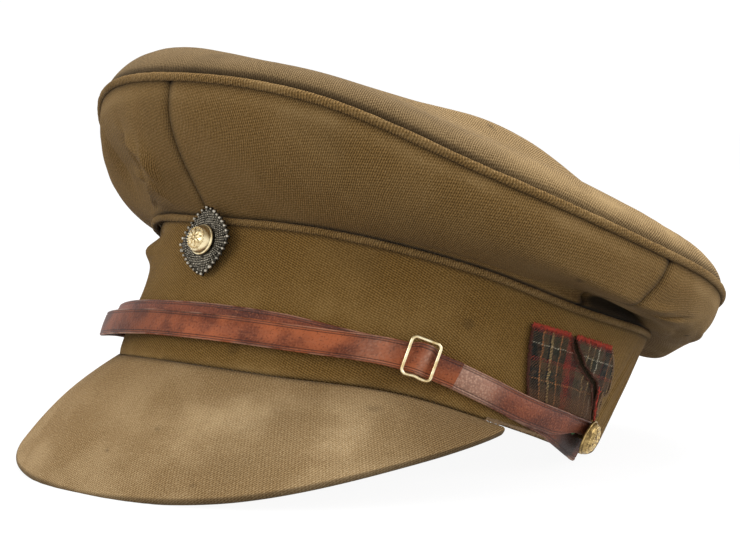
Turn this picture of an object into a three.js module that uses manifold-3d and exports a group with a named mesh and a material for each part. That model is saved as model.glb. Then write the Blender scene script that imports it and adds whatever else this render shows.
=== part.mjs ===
// Peaked cap of khaki cloth, resting by itself on its peak and the back of its band.
//
// Units are millimetres. The cap is modelled in a frame of its own, with the band plane level at
// z = 0, the front at -Y and the wearer's left at +X. Places round the cap are given by the turn,
// in degrees from the centre front towards the wearer's left: 0 front, 90 left, 180 back.
// The finished cap is then tilted back onto the surface that carries it.

import * as THREE from 'three';
import { mergeVertices } from 'three/addons/utils/BufferGeometryUtils.js';
import Module from 'manifold-3d';

const wasm = await Module();
wasm.setup();

// How the cap rests
const REST_TILT = 15.7;
const REST_FLATTENING = 0.7;

// Gaps and wall thicknesses
const GAP = 0.3;
const CLOTH = 1.6;
const BAND_WALL = 2.6;
const PEAK_WALL = 2.8;
const STRAP_LEATHER = 1.5;

// The three ovals that the cap is drawn round, each a half width, a half length and a shift back
const BAND_FOOT = { halfWidth: 85.0, halfLength: 100.1, back: 0 };
const BAND_HEAD = { halfWidth: 96.5, halfLength: 99.7, back: 8.3 };
const CROWN_EDGE = { halfWidth: 120.3, halfLength: 128.9, back: 6.2 };
const CROWN_WELT_RADIUS = 1.7;
const BAND_WELT_RADIUS = 1.4;
const BAND_WELT_SET_IN = 0.3;
const TOP_SET_IN = 2.1;
const PANEL_FOOT = { setIn: 1, lift: 0.2 };

// Heights of the ovals above the band plane, and how the side panels leave the band and meet the
// crown's edge: two control lengths outwards and upwards at the band, two outwards and downwards
// at the edge. One row for every 30 degrees of turn, the same on the left and on the right.
const STATION_STEP = 30;
const STATIONS = [
  { turn: 0, foot: -4.9, head: 48.4, edge: 93.8, leaveOut: 7, leaveUp: 9, meetOut: -1, meetDown: 20 },
  { turn: 30, foot: -4.0, head: 49.4, edge: 91.1, leaveOut: 11, leaveUp: 3, meetOut: 0, meetDown: 19 },
  { turn: 60, foot: -1.0, head: 47.2, edge: 77.8, leaveOut: 13, leaveUp: 1, meetOut: 2, meetDown: 17 },
  { turn: 90, foot: -4.4, head: 42.7, edge: 69.4, leaveOut: 12, leaveUp: 0, meetOut: 3, meetDown: 19 },
  { turn: 120, foot: -5.8, head: 44.1, edge: 66.6, leaveOut: 11, leaveUp: -3, meetOut: 0, meetDown: 20 },
  { turn: 150, foot: 3.5, head: 46.4, edge: 63.1, leaveOut: 12, leaveUp: -4, meetOut: -2, meetDown: 19 },
  { turn: 180, foot: 4.7, head: 46.8, edge: 62.3, leaveOut: 11, leaveUp: -5, meetOut: 3, meetDown: 22 },
];

// The crown's top: a dome that rises steeply inside the welt, and soft rises and hollows on it
const DOME = { height: 16.7, squareness: 4, shoulder: 0.52, rimPower: 3, formPower: 7 };
const TOP_FORMS = [
  { name: 'left ridge', x: 40.6, y: 7.4, reachX: 24.6, reachY: 60.6, rise: 16.6 },
  { name: 'front rise', x: -61, y: -101, reachX: 69, reachY: 62.7, rise: 15 },
];

// Dents and swellings of the side panels: place round, place up the panel from 0 to 1, and reach.
// They push along a line that leans down by the given slope, and fade out at both edges.
const FORM_DIRECTION = { slope: 0.6, edgeFade: 9 };
const SIDE_FORMS = [
  { name: 'front right dent', turn: -32, up: 0.45, reachTurn: 12, reachUp: 0.3, rise: -7 },
  { name: 'ridge beside the dent', turn: -15, up: 0.35, reachTurn: 8, reachUp: 0.32, rise: 3 },
  { name: 'left hollow', turn: 93, up: 0.25, reachTurn: 19, reachUp: 0.17, rise: -8 },
  { name: 'left fold', turn: 92, up: 0.52, reachTurn: 20, reachUp: 0.12, rise: 2.5 },
  { name: 'left rear tuck', turn: 113, up: 0.2, reachTurn: 6, reachUp: 0.2, rise: -6 },
  { name: 'left rear lobe', turn: 163, up: 0.38, reachTurn: 12, reachUp: 0.25, rise: 7 },
  { name: 'right rear lobe', turn: -136, up: 0.42, reachTurn: 18, reachUp: 0.25, rise: 2 },
  { name: 'back tuck', turn: 172, up: 0.4, reachTurn: 8, reachUp: 0.3, rise: -3 },
];

// Dents and swellings of the band
const BAND_FORMS = [
  { name: 'pinch under the welt', turn: -36, up: 0.95, reachTurn: 14, reachUp: 0.08, rise: -4 },
  { name: 'roll below it', turn: -36, up: 0.8, reachTurn: 14, reachUp: 0.07, rise: 2.5 },
  { name: 'front right hollow', turn: -40, up: 0.6, reachTurn: 20, reachUp: 0.28, rise: -3.5 },
];

// The peak: half of its spread round the band, its width out from the band, its slope below level
// at the front and at the corners, and how much its corners reach forward
const PEAK = {
  halfSpread: 85.3,
  width: 55,
  cornerWidth: 2.2,
  taper: 1.55,
  slopeFront: 65.6,
  slopeCorner: 28.4,
  forward: 0.21,
  crown: 3,
};

// The chin strap: height of its middle above the band's foot and clearance outside the band, for
// both halves. The upper half runs over the under half and stands away at the right-hand front.
const STRAP_WIDTH = 10;
const STRAP_UPPER = [
  { turn: -114, height: 7.3, clear: 1.6 },
  { turn: -92, height: 7.3, clear: 1.8 },
  { turn: -76, height: 9, clear: 2.6 },
  { turn: -56, height: 11, clear: 5.4 },
  { turn: -36, height: 10.4, clear: 7.6 },
  { turn: -20, height: 11.8, clear: 5.6 },
  { turn: -4, height: 13.4, clear: 3.4 },
  { turn: 22, height: 14.5, clear: 2.4 },
  { turn: 45, height: 14.2, clear: 2.4 },
  { turn: 57, height: 13.4, clear: 2.4 },
  { turn: 68.5, height: 11.2, clear: 2.4 },
];
const STRAP_UNDER = [
  { turn: -70, height: 12, clear: 0.6 },
  { turn: -56, height: 13, clear: 2.8 },
  { turn: -36, height: 14, clear: 4.4 },
  { turn: -20, height: 16, clear: 2.8 },
  { turn: -4, height: 17.4, clear: 1.2 },
  { turn: 12, height: 18.4, clear: 0.5 },
  { turn: 30, height: 18, clear: 0.5 },
  { turn: 45, height: 15, clear: 0.5 },
  { turn: 60, height: 12.8, clear: 0.5 },
  { turn: 78, height: 9.6, clear: 0.5 },
  { turn: 90, height: 7.6, clear: 1.4 },
  { turn: 100, height: 7.3, clear: 1.9 },
  { turn: 114, height: 7.3, clear: 1.9 },
];

// The seams between the side panels, by their turns at the band and at the crown's edge
const SEAM_TURN = 0.1;
const FRONT_SEAM = { band: -2, edge: 0 };
const LEFT_SEAM = { band: 89, edge: 98.5 };
const BACK_SEAM = { band: 180, edge: 180 };
const RIGHT_SEAM = { band: 271, edge: 261.5 };
const FULL_SEAM = { band: 358, edge: 360 };
const SIDE_PANELS = [
  { name: 'side_front_left', from: FRONT_SEAM, to: LEFT_SEAM },
  { name: 'side_rear_left', from: LEFT_SEAM, to: BACK_SEAM },
  { name: 'side_rear_right', from: BACK_SEAM, to: RIGHT_SEAM },
  { name: 'side_front_right', from: RIGHT_SEAM, to: FULL_SEAM },
];

// The brass fittings
const BUCKLE = { turn: 59.8, lift: 1.1, clear: 5.0, length: 12.4, width: 15, wire: 0.75, corner: 1.8 };
const BUTTON = {
  turn: 110.5,
  height: 7.2,
  clear: 3.9,
  radius: 6.8,
  rim: 1.0,
  domeRadius: 6.5,
  dome: 3.4,
  shank: 1.7,
};
const SHANK_HOLE = { radius: 2.3, length: 30 };

// The two torn pieces of tartan: heights above the band plane and the turns of their edges
const PATCH = { clear: 0.3, thick: 0.9 };
const PATCH_EDGES = [
  { height: 35.0, front: 79.0, slitFront: 89.8, slitRear: 90.9, rear: 104.5 },
  { height: 28.5, front: 80.6, slitFront: 93.2, slitRear: 96.0, rear: 109.3 },
  { height: 22.0, front: 82.4, slitFront: 100.0, slitRear: 104.8, rear: 112.8 },
  { height: 15.5, front: 84.4, slitFront: 106.8, slitRear: 108.7, rear: 113.0 },
  { height: 9.0, front: 86.9, slitFront: 110.3, slitRear: 112.0, rear: 114.2 },
];

// The badge: a lozenge plate with rays round a dome. Its sides bow out a little: a bow of 1 would
// be a straight-sided lozenge and 2 an oval.
const BADGE = {
  turn: 3.6,
  height: 45.6,
  clear: 3.9,
  halfWidth: 12.5,
  halfHeight: 13.2,
  thick: 1.4,
  rays: 32,
  bow: 1.4,
  rayDepth: 1.1,
  lean: 8,
  roll: 11,
};
const BOSS = { radius: 5.6, domeRadius: 5.2, height: 4.2, rim: 1.0 };

// How finely each piece is divided
const DIVISIONS = {
  round: 64,
  top: 8,
  side: 8,
  band: 5,
  welt: 6,
  peakAcross: 36,
  peakOut: 5,
  strap: 44,
  patchDown: 6,
  patchAcross: 4,
  wireAround: 32,
  wireSection: 3,
  turned: 20,
  dome: 5,
  hole: 16,
};

// Short steps for reading a surface's normal, as shares of its length and of its breadth
const NORMAL_STEP = { along: 1 / 1800, across: 0.01, margin: 0.02 };
const FLOOR = { side: 600, depth: 40 };

const COLOURS = {
  cloth: 0x7a6238,
  band: 0x6e5831,
  peak: 0x8a7248,
  leather: 0x7a3a1d,
  brass: 0xb08a45,
  silver: 0x4a463c,
  tartan: 0x5a3226,
};

const rad = THREE.MathUtils.degToRad;
const UP = new THREE.Vector3(0, 0, 1);

// A smooth curve through evenly or unevenly spaced rows of a table
function alongTable(rows, key, column, at) {
  const last = rows.length - 1;
  let i = 0;
  while (i < last - 1 && at > rows[i + 1][key]) i += 1;
  const step = rows[i + 1][key] - rows[i][key];
  const u = THREE.MathUtils.clamp((at - rows[i][key]) / step, 0, 1);
  const before = rows[Math.max(i - 1, 0)][column];
  const after = rows[Math.min(i + 2, last)][column];
  const [from, to] = [rows[i][column], rows[i + 1][column]];
  const leave = (to - before) / 2;
  const arrive = (after - from) / 2;
  return hermite(from, leave, to, arrive, u);
}

function hermite(from, leave, to, arrive, u) {
  const cube = u * u * u;
  const square = u * u;
  return (2 * cube - 3 * square + 1) * from + (cube - 2 * square + u) * leave
    + (3 * square - 2 * cube) * to + (cube - square) * arrive;
}

// The stations are mirrored at the centre front and back, so both ends are level
function station(column, turn) {
  const folded = Math.abs(((turn + 540) % 360) - 180);
  const last = STATIONS.length - 1;
  const i = Math.min(Math.floor(folded / STATION_STEP), last - 1);
  const u = folded / STATION_STEP - i;
  const row = (n) => STATIONS[n < 0 ? -n : n > last ? 2 * last - n : n][column];
  const leave = (row(i + 1) - row(i - 1)) / 2;
  const arrive = (row(i + 2) - row(i)) / 2;
  return hermite(row(i), leave, row(i + 1), arrive, u);
}

function onOval(oval, turn, height) {
  const angle = rad(turn);
  return new THREE.Vector3(
    oval.halfWidth * Math.sin(angle),
    oval.back - oval.halfLength * Math.cos(angle),
    height,
  );
}

function outwards(oval, turn) {
  const angle = rad(turn);
  const away = new THREE.Vector3(Math.sin(angle) / oval.halfWidth, -Math.cos(angle) / oval.halfLength, 0);
  return away.normalize();
}

// A soft swelling that fades out with distance
function swelling(acrossRatio, alongRatio) {
  return Math.exp(-acrossRatio * acrossRatio - alongRatio * alongRatio);
}

function formsAt(forms, turn, up) {
  return forms.reduce((sum, form) => {
    const across = (((turn - form.turn + 540) % 360) - 180) / form.reachTurn;
    return sum + form.rise * swelling(across, (up - form.up) / form.reachUp);
  }, 0);
}

// Surfaces of the cap, each given by the turn and a place across it from 0 to 1

function bandPoint(turn, up) {
  const foot = onOval(BAND_FOOT, turn, station('foot', turn));
  const head = onOval(BAND_HEAD, turn, station('head', turn) - BAND_WELT_RADIUS - GAP);
  const away = outwards(BAND_FOOT, turn).multiplyScalar(formsAt(BAND_FORMS, turn, up));
  return foot.lerp(head, up).add(away);
}

function sidePoint(turn, up) {
  const away = outwards(CROWN_EDGE, turn);
  const leaveHeight = station('head', turn) + BAND_WELT_RADIUS + GAP + PANEL_FOOT.lift;
  const start = onOval(BAND_HEAD, turn, leaveHeight).addScaledVector(away, -PANEL_FOOT.setIn);
  const end = onOval(CROWN_EDGE, turn, station('edge', turn) - CROWN_WELT_RADIUS - GAP);
  const leave = start.clone()
    .addScaledVector(away, station('leaveOut', turn))
    .addScaledVector(UP, station('leaveUp', turn));
  const meet = end.clone()
    .addScaledVector(away, station('meetOut', turn))
    .addScaledVector(UP, -station('meetDown', turn));
  const curve = new THREE.CubicBezierCurve3(start, leave, meet, end);
  const fade = Math.min(1, up * (1 - up) * FORM_DIRECTION.edgeFade);
  const push = away.clone().addScaledVector(UP, -FORM_DIRECTION.slope).normalize();
  return curve.getPoint(up).addScaledVector(push, fade * formsAt(SIDE_FORMS, turn, up));
}

function topPoint(turn, out) {
  const oval = { ...CROWN_EDGE };
  oval.halfWidth = (oval.halfWidth - TOP_SET_IN) * out;
  oval.halfLength = (oval.halfLength - TOP_SET_IN) * out;
  const point = onOval(oval, turn, 0);
  const edge = station('edge', turn) + CROWN_WELT_RADIUS + GAP;
  const middle = (station('edge', 0) + station('edge', 180)) / 4 + station('edge', 90) / 2;
  const fall = (station('edge', 180) - station('edge', 0)) / 2;
  const plane = middle - fall * Math.cos(rad(turn));
  const rim = edge - plane;
  const dome = DOME.height * (1 - out ** DOME.squareness) ** DOME.shoulder;
  const forms = TOP_FORMS.reduce((sum, form) => {
    const across = (point.x - form.x) / form.reachX;
    return sum + form.rise * swelling(across, (point.y - form.y) / form.reachY);
  }, 0);
  point.z = middle - fall * out * Math.cos(rad(turn)) + dome
    + rim * out ** DOME.rimPower
    + forms * (1 - out ** DOME.formPower);
  return point;
}

function peakPoint(across, out) {
  const turn = across * PEAK.halfSpread;
  const reach = Math.abs(across);
  const width = PEAK.width * Math.cos(Math.PI / 2 * reach ** PEAK.taper) + PEAK.cornerWidth;
  const slope = rad(PEAK.slopeFront + (PEAK.slopeCorner - PEAK.slopeFront) * across * across);
  const away = outwards(BAND_FOOT, turn);
  const direction = away.clone().multiplyScalar(Math.cos(slope)).addScaledVector(UP, -Math.sin(slope));
  direction.y -= PEAK.forward * reach;
  direction.normalize();
  const face = away.clone().multiplyScalar(Math.sin(slope)).addScaledVector(UP, Math.cos(slope));
  const crown = PEAK.crown * 4 * out * (1 - out) * width / PEAK.width;
  return onOval(BAND_FOOT, turn, station('foot', turn) - GAP)
    .addScaledVector(direction, width * out)
    .addScaledVector(face, crown);
}

// The unit normal of a surface, from short steps along both of its directions
function normalOf(surface, a, b, stepA, stepB) {
  const alongA = surface(a + stepA, b).sub(surface(a - stepA, b));
  const alongB = surface(a, b + stepB).sub(surface(a, b - stepB));
  return alongA.cross(alongB).normalize();
}

// A closed body between an outer and an inner net of points. Rows run along it and either close
// into a ring or end in a flat face.
function bodyBetween(outer, inner, ring) {
  const rows = outer.length;
  const columns = outer[0].length;
  const positions = [...outer.flat(), ...inner.flat()].flatMap((p) => [p.x, p.y, p.z]);
  const at = (side, row, column) => side * rows * columns + (row % rows) * columns + column;
  const index = [];
  const quad = (a, b, c, d) => index.push(a, b, c, a, c, d);
  const spans = ring ? rows : rows - 1;
  for (let r = 0; r < spans; r += 1) {
    for (let c = 0; c < columns - 1; c += 1) {
      quad(at(0, r, c), at(0, r + 1, c), at(0, r + 1, c + 1), at(0, r, c + 1));
      quad(at(1, r, c), at(1, r, c + 1), at(1, r + 1, c + 1), at(1, r + 1, c));
    }
    quad(at(0, r, 0), at(1, r, 0), at(1, r + 1, 0), at(0, r + 1, 0));
    const e = columns - 1;
    quad(at(0, r, e), at(0, r + 1, e), at(1, r + 1, e), at(1, r, e));
  }
  if (!ring) {
    for (let c = 0; c < columns - 1; c += 1) {
      const l = rows - 1;
      quad(at(0, 0, c), at(0, 0, c + 1), at(1, 0, c + 1), at(1, 0, c));
      quad(at(0, l, c), at(1, l, c), at(1, l, c + 1), at(0, l, c + 1));
    }
  }
  return closedGeometry(positions, index);
}

// Points that meet are made one, triangles that have closed up are dropped, and a body whose
// faces point in is turned round
function closedGeometry(positions, index) {
  const loose = new THREE.BufferGeometry();
  loose.setAttribute('position', new THREE.Float32BufferAttribute(positions, 3));
  loose.setIndex(index);
  const geometry = mergeVertices(loose, 1e-3);
  const kept = [];
  const all = geometry.index.array;
  for (let i = 0; i < all.length; i += 3) {
    const [a, b, c] = [all[i], all[i + 1], all[i + 2]];
    if (a !== b && b !== c && c !== a) kept.push(a, b, c);
  }
  geometry.setIndex(kept);
  if (volumeOf(geometry) < 0) {
    for (let i = 0; i < kept.length; i += 3) [kept[i], kept[i + 1]] = [kept[i + 1], kept[i]];
    geometry.setIndex(kept);
  }
  return geometry;
}

function volumeOf(geometry) {
  const place = geometry.attributes.position;
  const corner = (i) => new THREE.Vector3().fromBufferAttribute(place, geometry.index.array[i]);
  let volume = 0;
  for (let i = 0; i < geometry.index.count; i += 3) {
    volume += corner(i).dot(corner(i + 1).cross(corner(i + 2))) / 6;
  }
  return volume;
}

// A wall of even thickness behind a surface. The surface takes a place along the wall and a place
// across it from 0 to 1, and behind is 1 or -1, for the side that the thickness lies on. With a
// pole, the first places across it are all one point, which is level.
function wall({ surface, from, to, rows, columns, thick, behind, ring = false, pole = false }) {
  const outer = [];
  const inner = [];
  const step = (to - from) * NORMAL_STEP.along;
  const { across, margin } = NORMAL_STEP;
  for (let r = 0; r < (ring ? rows : rows + 1); r += 1) {
    const a = from + (to - from) * r / rows;
    const places = Array.from({ length: columns + 1 }, (_, c) => c / columns);
    const face = places.map((b) => surface(a, b));
    outer.push(face);
    inner.push(face.map((point, c) => {
      if (pole && c === 0) return point.clone().addScaledVector(UP, -thick);
      const b = THREE.MathUtils.clamp(places[c], margin, 1 - margin);
      return point.clone().addScaledVector(normalOf(surface, a, b, step, across), -behind * thick);
    }));
  }
  return bodyBetween(outer, inner, ring);
}

// A cord of round section along a closed line
function cordRing(line, radius) {
  const outer = [];
  const inner = [];
  for (let r = 0; r < DIVISIONS.round; r += 1) {
    const turn = 360 * r / DIVISIONS.round;
    const { centre, away } = line(turn);
    const point = (angle) => centre.clone()
      .addScaledVector(away, radius * Math.cos(angle))
      .addScaledVector(UP, radius * Math.sin(angle));
    const half = DIVISIONS.welt / 2;
    outer.push(Array.from({ length: half + 1 }, (_, k) => point(Math.PI * k / half)));
    inner.push(Array.from({ length: half + 1 }, (_, k) => point(-Math.PI * k / half)));
  }
  return bodyBetween(outer, inner, true);
}

// A solid for cutting and joining, and back
function toSolid(geometry) {
  const bare = geometry.clone();
  bare.deleteAttribute('normal');
  bare.deleteAttribute('uv');
  const merged = mergeVertices(bare, 1e-4);
  return new wasm.Manifold(new wasm.Mesh({
    numProp: 3,
    vertProperties: new Float32Array(merged.attributes.position.array),
    triVerts: new Uint32Array(merged.index.array),
  }));
}

function fromSolid(solid) {
  const mesh = solid.getMesh();
  const geometry = new THREE.BufferGeometry();
  geometry.setAttribute('position', new THREE.Float32BufferAttribute(mesh.vertProperties, 3));
  geometry.setIndex(Array.from(mesh.triVerts));
  return geometry;
}

// The cap and its resting place

const cap = new THREE.Group();
cap.rotation.x = -rad(REST_TILT);

function add(name, geometry, colour, roughness, metalness = 0) {
  geometry.computeVertexNormals();
  const material = new THREE.MeshStandardMaterial({ color: colour, roughness, metalness });
  const mesh = new THREE.Mesh(geometry, material);
  mesh.name = name;
  cap.add(mesh);
  return mesh;
}

// Heights in the tilted frame
function lowestOf(geometry) {
  const tilted = geometry.clone().applyMatrix4(new THREE.Matrix4().makeRotationX(cap.rotation.x));
  tilted.computeBoundingBox();
  return tilted.boundingBox.min.z;
}

function flattened(geometry) {
  const floor = new THREE.BoxGeometry(FLOOR.side, FLOOR.side, FLOOR.depth);
  floor.translate(0, 0, restHeight - FLOOR.depth / 2);
  floor.rotateX(-cap.rotation.x);
  return fromSolid(toSolid(geometry).subtract(toSolid(floor)));
}

function placed(mesh, frame) {
  frame.decompose(mesh.position, mesh.quaternion, mesh.scale);
}

// A frame standing on the band at a turn and a height above the band's foot: x runs round the
// band, y up it and z out of it
function standOnBand(turn, height, clear, lean = 0, roll = 0) {
  const up = height / (station('head', turn) - station('foot', turn));
  const base = bandPoint(turn, up);
  const along = bandPoint(turn + 0.5, up).sub(bandPoint(turn - 0.5, up)).normalize();
  const climb = bandPoint(turn, up + 0.05).sub(bandPoint(turn, up - 0.05)).normalize();
  const out = along.clone().cross(climb).normalize();
  const frame = new THREE.Matrix4().makeBasis(along, out.clone().cross(along), out);
  frame.setPosition(base.addScaledVector(out, clear));
  frame.multiply(new THREE.Matrix4().makeRotationX(rad(lean)));
  return frame.multiply(new THREE.Matrix4().makeRotationZ(rad(roll)));
}

// The frame of a strap's middle line at a turn: x along it, y across it and z out of it
function strapFrame(rows, turn, clear) {
  const standing = (at) => standOnBand(at, alongTable(rows, 'turn', 'height', at), clear);
  const placeOf = (frame) => new THREE.Vector3().setFromMatrixPosition(frame);
  const step = 2;
  const here = standing(turn);
  const out = new THREE.Vector3().setFromMatrixColumn(here, 2);
  const along = placeOf(standing(turn + step)).sub(placeOf(standing(turn - step))).normalize();
  const across = out.clone().cross(along).normalize();
  const frame = new THREE.Matrix4().makeBasis(along, across, along.clone().cross(across));
  return frame.setPosition(placeOf(here));
}

// The hole that a button's shank passes through, on the left (1) or the right (-1)
function withShankHole(geometry, side) {
  const { radius, length } = SHANK_HOLE;
  const hole = new THREE.CylinderGeometry(radius, radius, length, DIVISIONS.hole);
  hole.rotateX(Math.PI / 2);
  hole.applyMatrix4(standOnBand(side * BUTTON.turn, BUTTON.height, 0));
  return fromSolid(toSolid(geometry).subtract(toSolid(hole)));
}

// A flat strap laid along the band by the rows of its table
function strap(rows) {
  const first = rows[0].turn;
  const last = rows[rows.length - 1].turn;
  const section = (turn, side, depth) => {
    const height = alongTable(rows, 'turn', 'height', turn) + side * STRAP_WIDTH / 2;
    const clear = alongTable(rows, 'turn', 'clear', turn) + depth;
    const up = height / (station('head', turn) - station('foot', turn));
    return bandPoint(turn, up).addScaledVector(outwards(BAND_FOOT, turn), clear);
  };
  const outer = [];
  const inner = [];
  for (let r = 0; r <= DIVISIONS.strap; r += 1) {
    const turn = first + (last - first) * r / DIVISIONS.strap;
    outer.push([section(turn, -1, STRAP_LEATHER), section(turn, 1, STRAP_LEATHER)]);
    inner.push([section(turn, -1, 0), section(turn, 1, 0)]);
  }
  return bodyBetween(outer, inner, false);
}

// A piece of tartan between two edges of the patch's table
function patch(fromEdge, toEdge) {
  const top = PATCH_EDGES[0].height;
  const bottom = PATCH_EDGES[PATCH_EDGES.length - 1].height;
  const rows = PATCH_EDGES.map((row) => ({ ...row, depth: top - row.height }));
  const surface = (depth, across) => {
    const from = alongTable(rows, 'depth', fromEdge, depth);
    const to = alongTable(rows, 'depth', toEdge, depth);
    const turn = from + (to - from) * across;
    const foot = station('foot', turn);
    const up = (top - depth - foot) / (station('head', turn) - foot);
    return bandPoint(turn, up).addScaledVector(outwards(BAND_FOOT, turn), PATCH.clear);
  };
  const outer = [];
  const inner = [];
  const { patchDown, patchAcross } = DIVISIONS;
  for (let r = 0; r <= patchDown; r += 1) {
    const depth = (top - bottom) * r / patchDown;
    const places = Array.from({ length: patchAcross + 1 }, (_, k) => surface(depth, k / patchAcross));
    const aways = places.map((p) => new THREE.Vector3(p.x, p.y, 0).normalize());
    inner.push(places);
    outer.push(places.map((p, k) => p.clone().addScaledVector(aways[k], PATCH.thick)));
  }
  return bodyBetween(outer, inner, false);
}

// A rounded rectangle of wire
function wireLoop({ length, width, wire, corner }) {
  const [x, y] = [length / 2 - wire, width / 2 - wire];
  const line = new THREE.CurvePath();
  const at = (px, py) => new THREE.Vector3(px, py, 0);
  const corners = [[1, 1], [-1, 1], [-1, -1], [1, -1]];
  const points = corners.flatMap(([sx, sy], k) => {
    const before = k % 2 === 0 ? at(sx * x, sy * (y - corner)) : at(sx * (x - corner), sy * y);
    const after = k % 2 === 0 ? at(sx * (x - corner), sy * y) : at(sx * x, sy * (y - corner));
    return [before, at(sx * x, sy * y), after];
  });
  for (let k = 0; k < 4; k += 1) {
    const [before, middle, after] = points.slice(3 * k, 3 * k + 3);
    line.add(new THREE.QuadraticBezierCurve3(before, middle, after));
    line.add(new THREE.LineCurve3(after, points[(3 * k + 3) % 12]));
  }
  const around = DIVISIONS.wireAround;
  const half = DIVISIONS.wireSection;
  const outer = [];
  const inner = [];
  for (let r = 0; r < around; r += 1) {
    const place = line.getPoint(r / around);
    const ahead = line.getPoint(((r + 0.2) % around) / around).sub(place).normalize();
    const side = ahead.clone().cross(UP);
    const ringPoint = (angle) => place.clone()
      .addScaledVector(side, wire * Math.cos(angle))
      .addScaledVector(UP, wire * Math.sin(angle));
    outer.push(Array.from({ length: half + 1 }, (_, k) => ringPoint(Math.PI * k / half)));
    inner.push(Array.from({ length: half + 1 }, (_, k) => ringPoint(-Math.PI * k / half)));
  }
  return bodyBetween(outer, inner, true);
}

// A turned piece standing along +Z, from its profile of radius and height
function turned(profile) {
  const lathe = new THREE.LatheGeometry(profile.map(([r, z]) => new THREE.Vector2(r, z)), DIVISIONS.turned);
  lathe.rotateX(Math.PI / 2);
  lathe.deleteAttribute('normal');
  lathe.deleteAttribute('uv');
  return closedGeometry(Array.from(lathe.attributes.position.array), Array.from(lathe.index.array));
}

function domeProfile(radius, start, height) {
  return Array.from({ length: DIVISIONS.dome + 1 }, (_, k) => {
    const angle = Math.PI / 2 * k / DIVISIONS.dome;
    return [radius * Math.cos(angle), start + height * Math.sin(angle)];
  });
}

function buttonBody() {
  const { radius, domeRadius, clear, rim, dome, shank } = BUTTON;
  const foot = GAP - clear;
  const profile = [[0, foot], [shank, foot], [shank, 0], [radius - rim, 0], [radius, rim / 2]];
  return turned([...profile, ...domeProfile(domeRadius, rim, dome)]);
}

function bossBody() {
  const { radius, domeRadius, height, rim } = BOSS;
  const foot = BADGE.thick + GAP;
  const profile = [[0, foot], [radius, foot], [radius, foot + rim]];
  return turned([...profile, ...domeProfile(domeRadius, foot + rim, height)]);
}

function badgePlate() {
  const { halfWidth, halfHeight, rays, rayDepth, bow, thick } = BADGE;
  const outline = new THREE.Shape();
  for (let k = 0; k < rays * 2; k += 1) {
    const angle = Math.PI * k / rays;
    const [c, s] = [Math.cos(angle), Math.sin(angle)];
    const lozenge = 1 / (Math.abs(c) ** bow + Math.abs(s) ** bow) ** (1 / bow);
    const reach = 1 - (k % 2) * rayDepth / halfWidth;
    const [x, y] = [halfWidth * lozenge * c * reach, halfHeight * lozenge * s * reach];
    if (k === 0) outline.moveTo(x, y);
    else outline.lineTo(x, y);
  }
  return new THREE.ExtrudeGeometry(outline, { depth: thick, bevelEnabled: false, steps: 1 });
}

// Cloth of the crown
const FULL_TURN = { from: 0, to: 360, rows: DIVISIONS.round, ring: true };
add('crown_top', wall({
  ...FULL_TURN, surface: topPoint, columns: DIVISIONS.top, thick: CLOTH, behind: -1, pole: true,
}), COLOURS.cloth, 0.95);
add('crown_welt', cordRing((turn) => ({
  centre: onOval(CROWN_EDGE, turn, station('edge', turn)),
  away: outwards(CROWN_EDGE, turn),
}), CROWN_WELT_RADIUS), COLOURS.cloth, 0.95);

for (const { name, from, to } of SIDE_PANELS) {
  const turnAt = (share, up) => {
    const start = THREE.MathUtils.lerp(from.band, from.edge, up) + SEAM_TURN;
    const end = THREE.MathUtils.lerp(to.band, to.edge, up) - SEAM_TURN;
    return THREE.MathUtils.lerp(start, end, share);
  };
  add(name, wall({
    surface: (share, up) => sidePoint(turnAt(share, up), up),
    from: 0,
    to: 1,
    rows: Math.round(DIVISIONS.round * (to.band - from.band) / 360),
    columns: DIVISIONS.side,
    thick: CLOTH,
    behind: 1,
  }), COLOURS.cloth, 0.95);
}

// Band, its welt, and the peak
add('band_welt', cordRing((turn) => ({
  centre: onOval(BAND_HEAD, turn, station('head', turn))
    .addScaledVector(outwards(BAND_HEAD, turn), -BAND_WELT_SET_IN),
  away: outwards(BAND_HEAD, turn),
}), BAND_WELT_RADIUS), COLOURS.band, 0.95);
const bandWall = wall({
  ...FULL_TURN, surface: bandPoint, columns: DIVISIONS.band, thick: BAND_WALL, behind: 1,
});
const peakBoard = wall({
  surface: peakPoint,
  from: -1,
  to: 1,
  rows: DIVISIONS.peakAcross,
  columns: DIVISIONS.peakOut,
  thick: PEAK_WALL,
  behind: -1,
});

// The surface that carries the cap, a little above the lowest points of the band and the peak,
// so that the cloth is flattened where it rests
const restHeight = Math.max(lowestOf(bandWall), lowestOf(peakBoard)) + REST_FLATTENING;
add('band', flattened(bandWall), COLOURS.band, 0.95);
add('peak', flattened(peakBoard), COLOURS.peak, 0.95);

// Chin strap, its buckle and its buttons
add('strap_under', withShankHole(strap(STRAP_UNDER), 1), COLOURS.leather, 0.5);
add('strap_upper', withShankHole(strap(STRAP_UPPER), -1), COLOURS.leather, 0.5);
const buckle = add('buckle', wireLoop(BUCKLE), COLOURS.brass, 0.35, 1);
placed(buckle, strapFrame(STRAP_UPPER, BUCKLE.turn, BUCKLE.clear).multiply(
  new THREE.Matrix4().makeTranslation(0, BUCKLE.lift, 0),
));
const buttonLeft = add('button_left', buttonBody(), COLOURS.brass, 0.4, 1);
placed(buttonLeft, standOnBand(BUTTON.turn, BUTTON.height, BUTTON.clear));
const buttonRight = add('button_right', buttonBody(), COLOURS.brass, 0.4, 1);
placed(buttonRight, standOnBand(-BUTTON.turn, BUTTON.height, BUTTON.clear));

// Tartan behind the strap's left end
add('patch_front', patch('front', 'slitFront'), COLOURS.tartan, 0.95);
add('patch_rear', patch('slitRear', 'rear'), COLOURS.tartan, 0.95);

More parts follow.
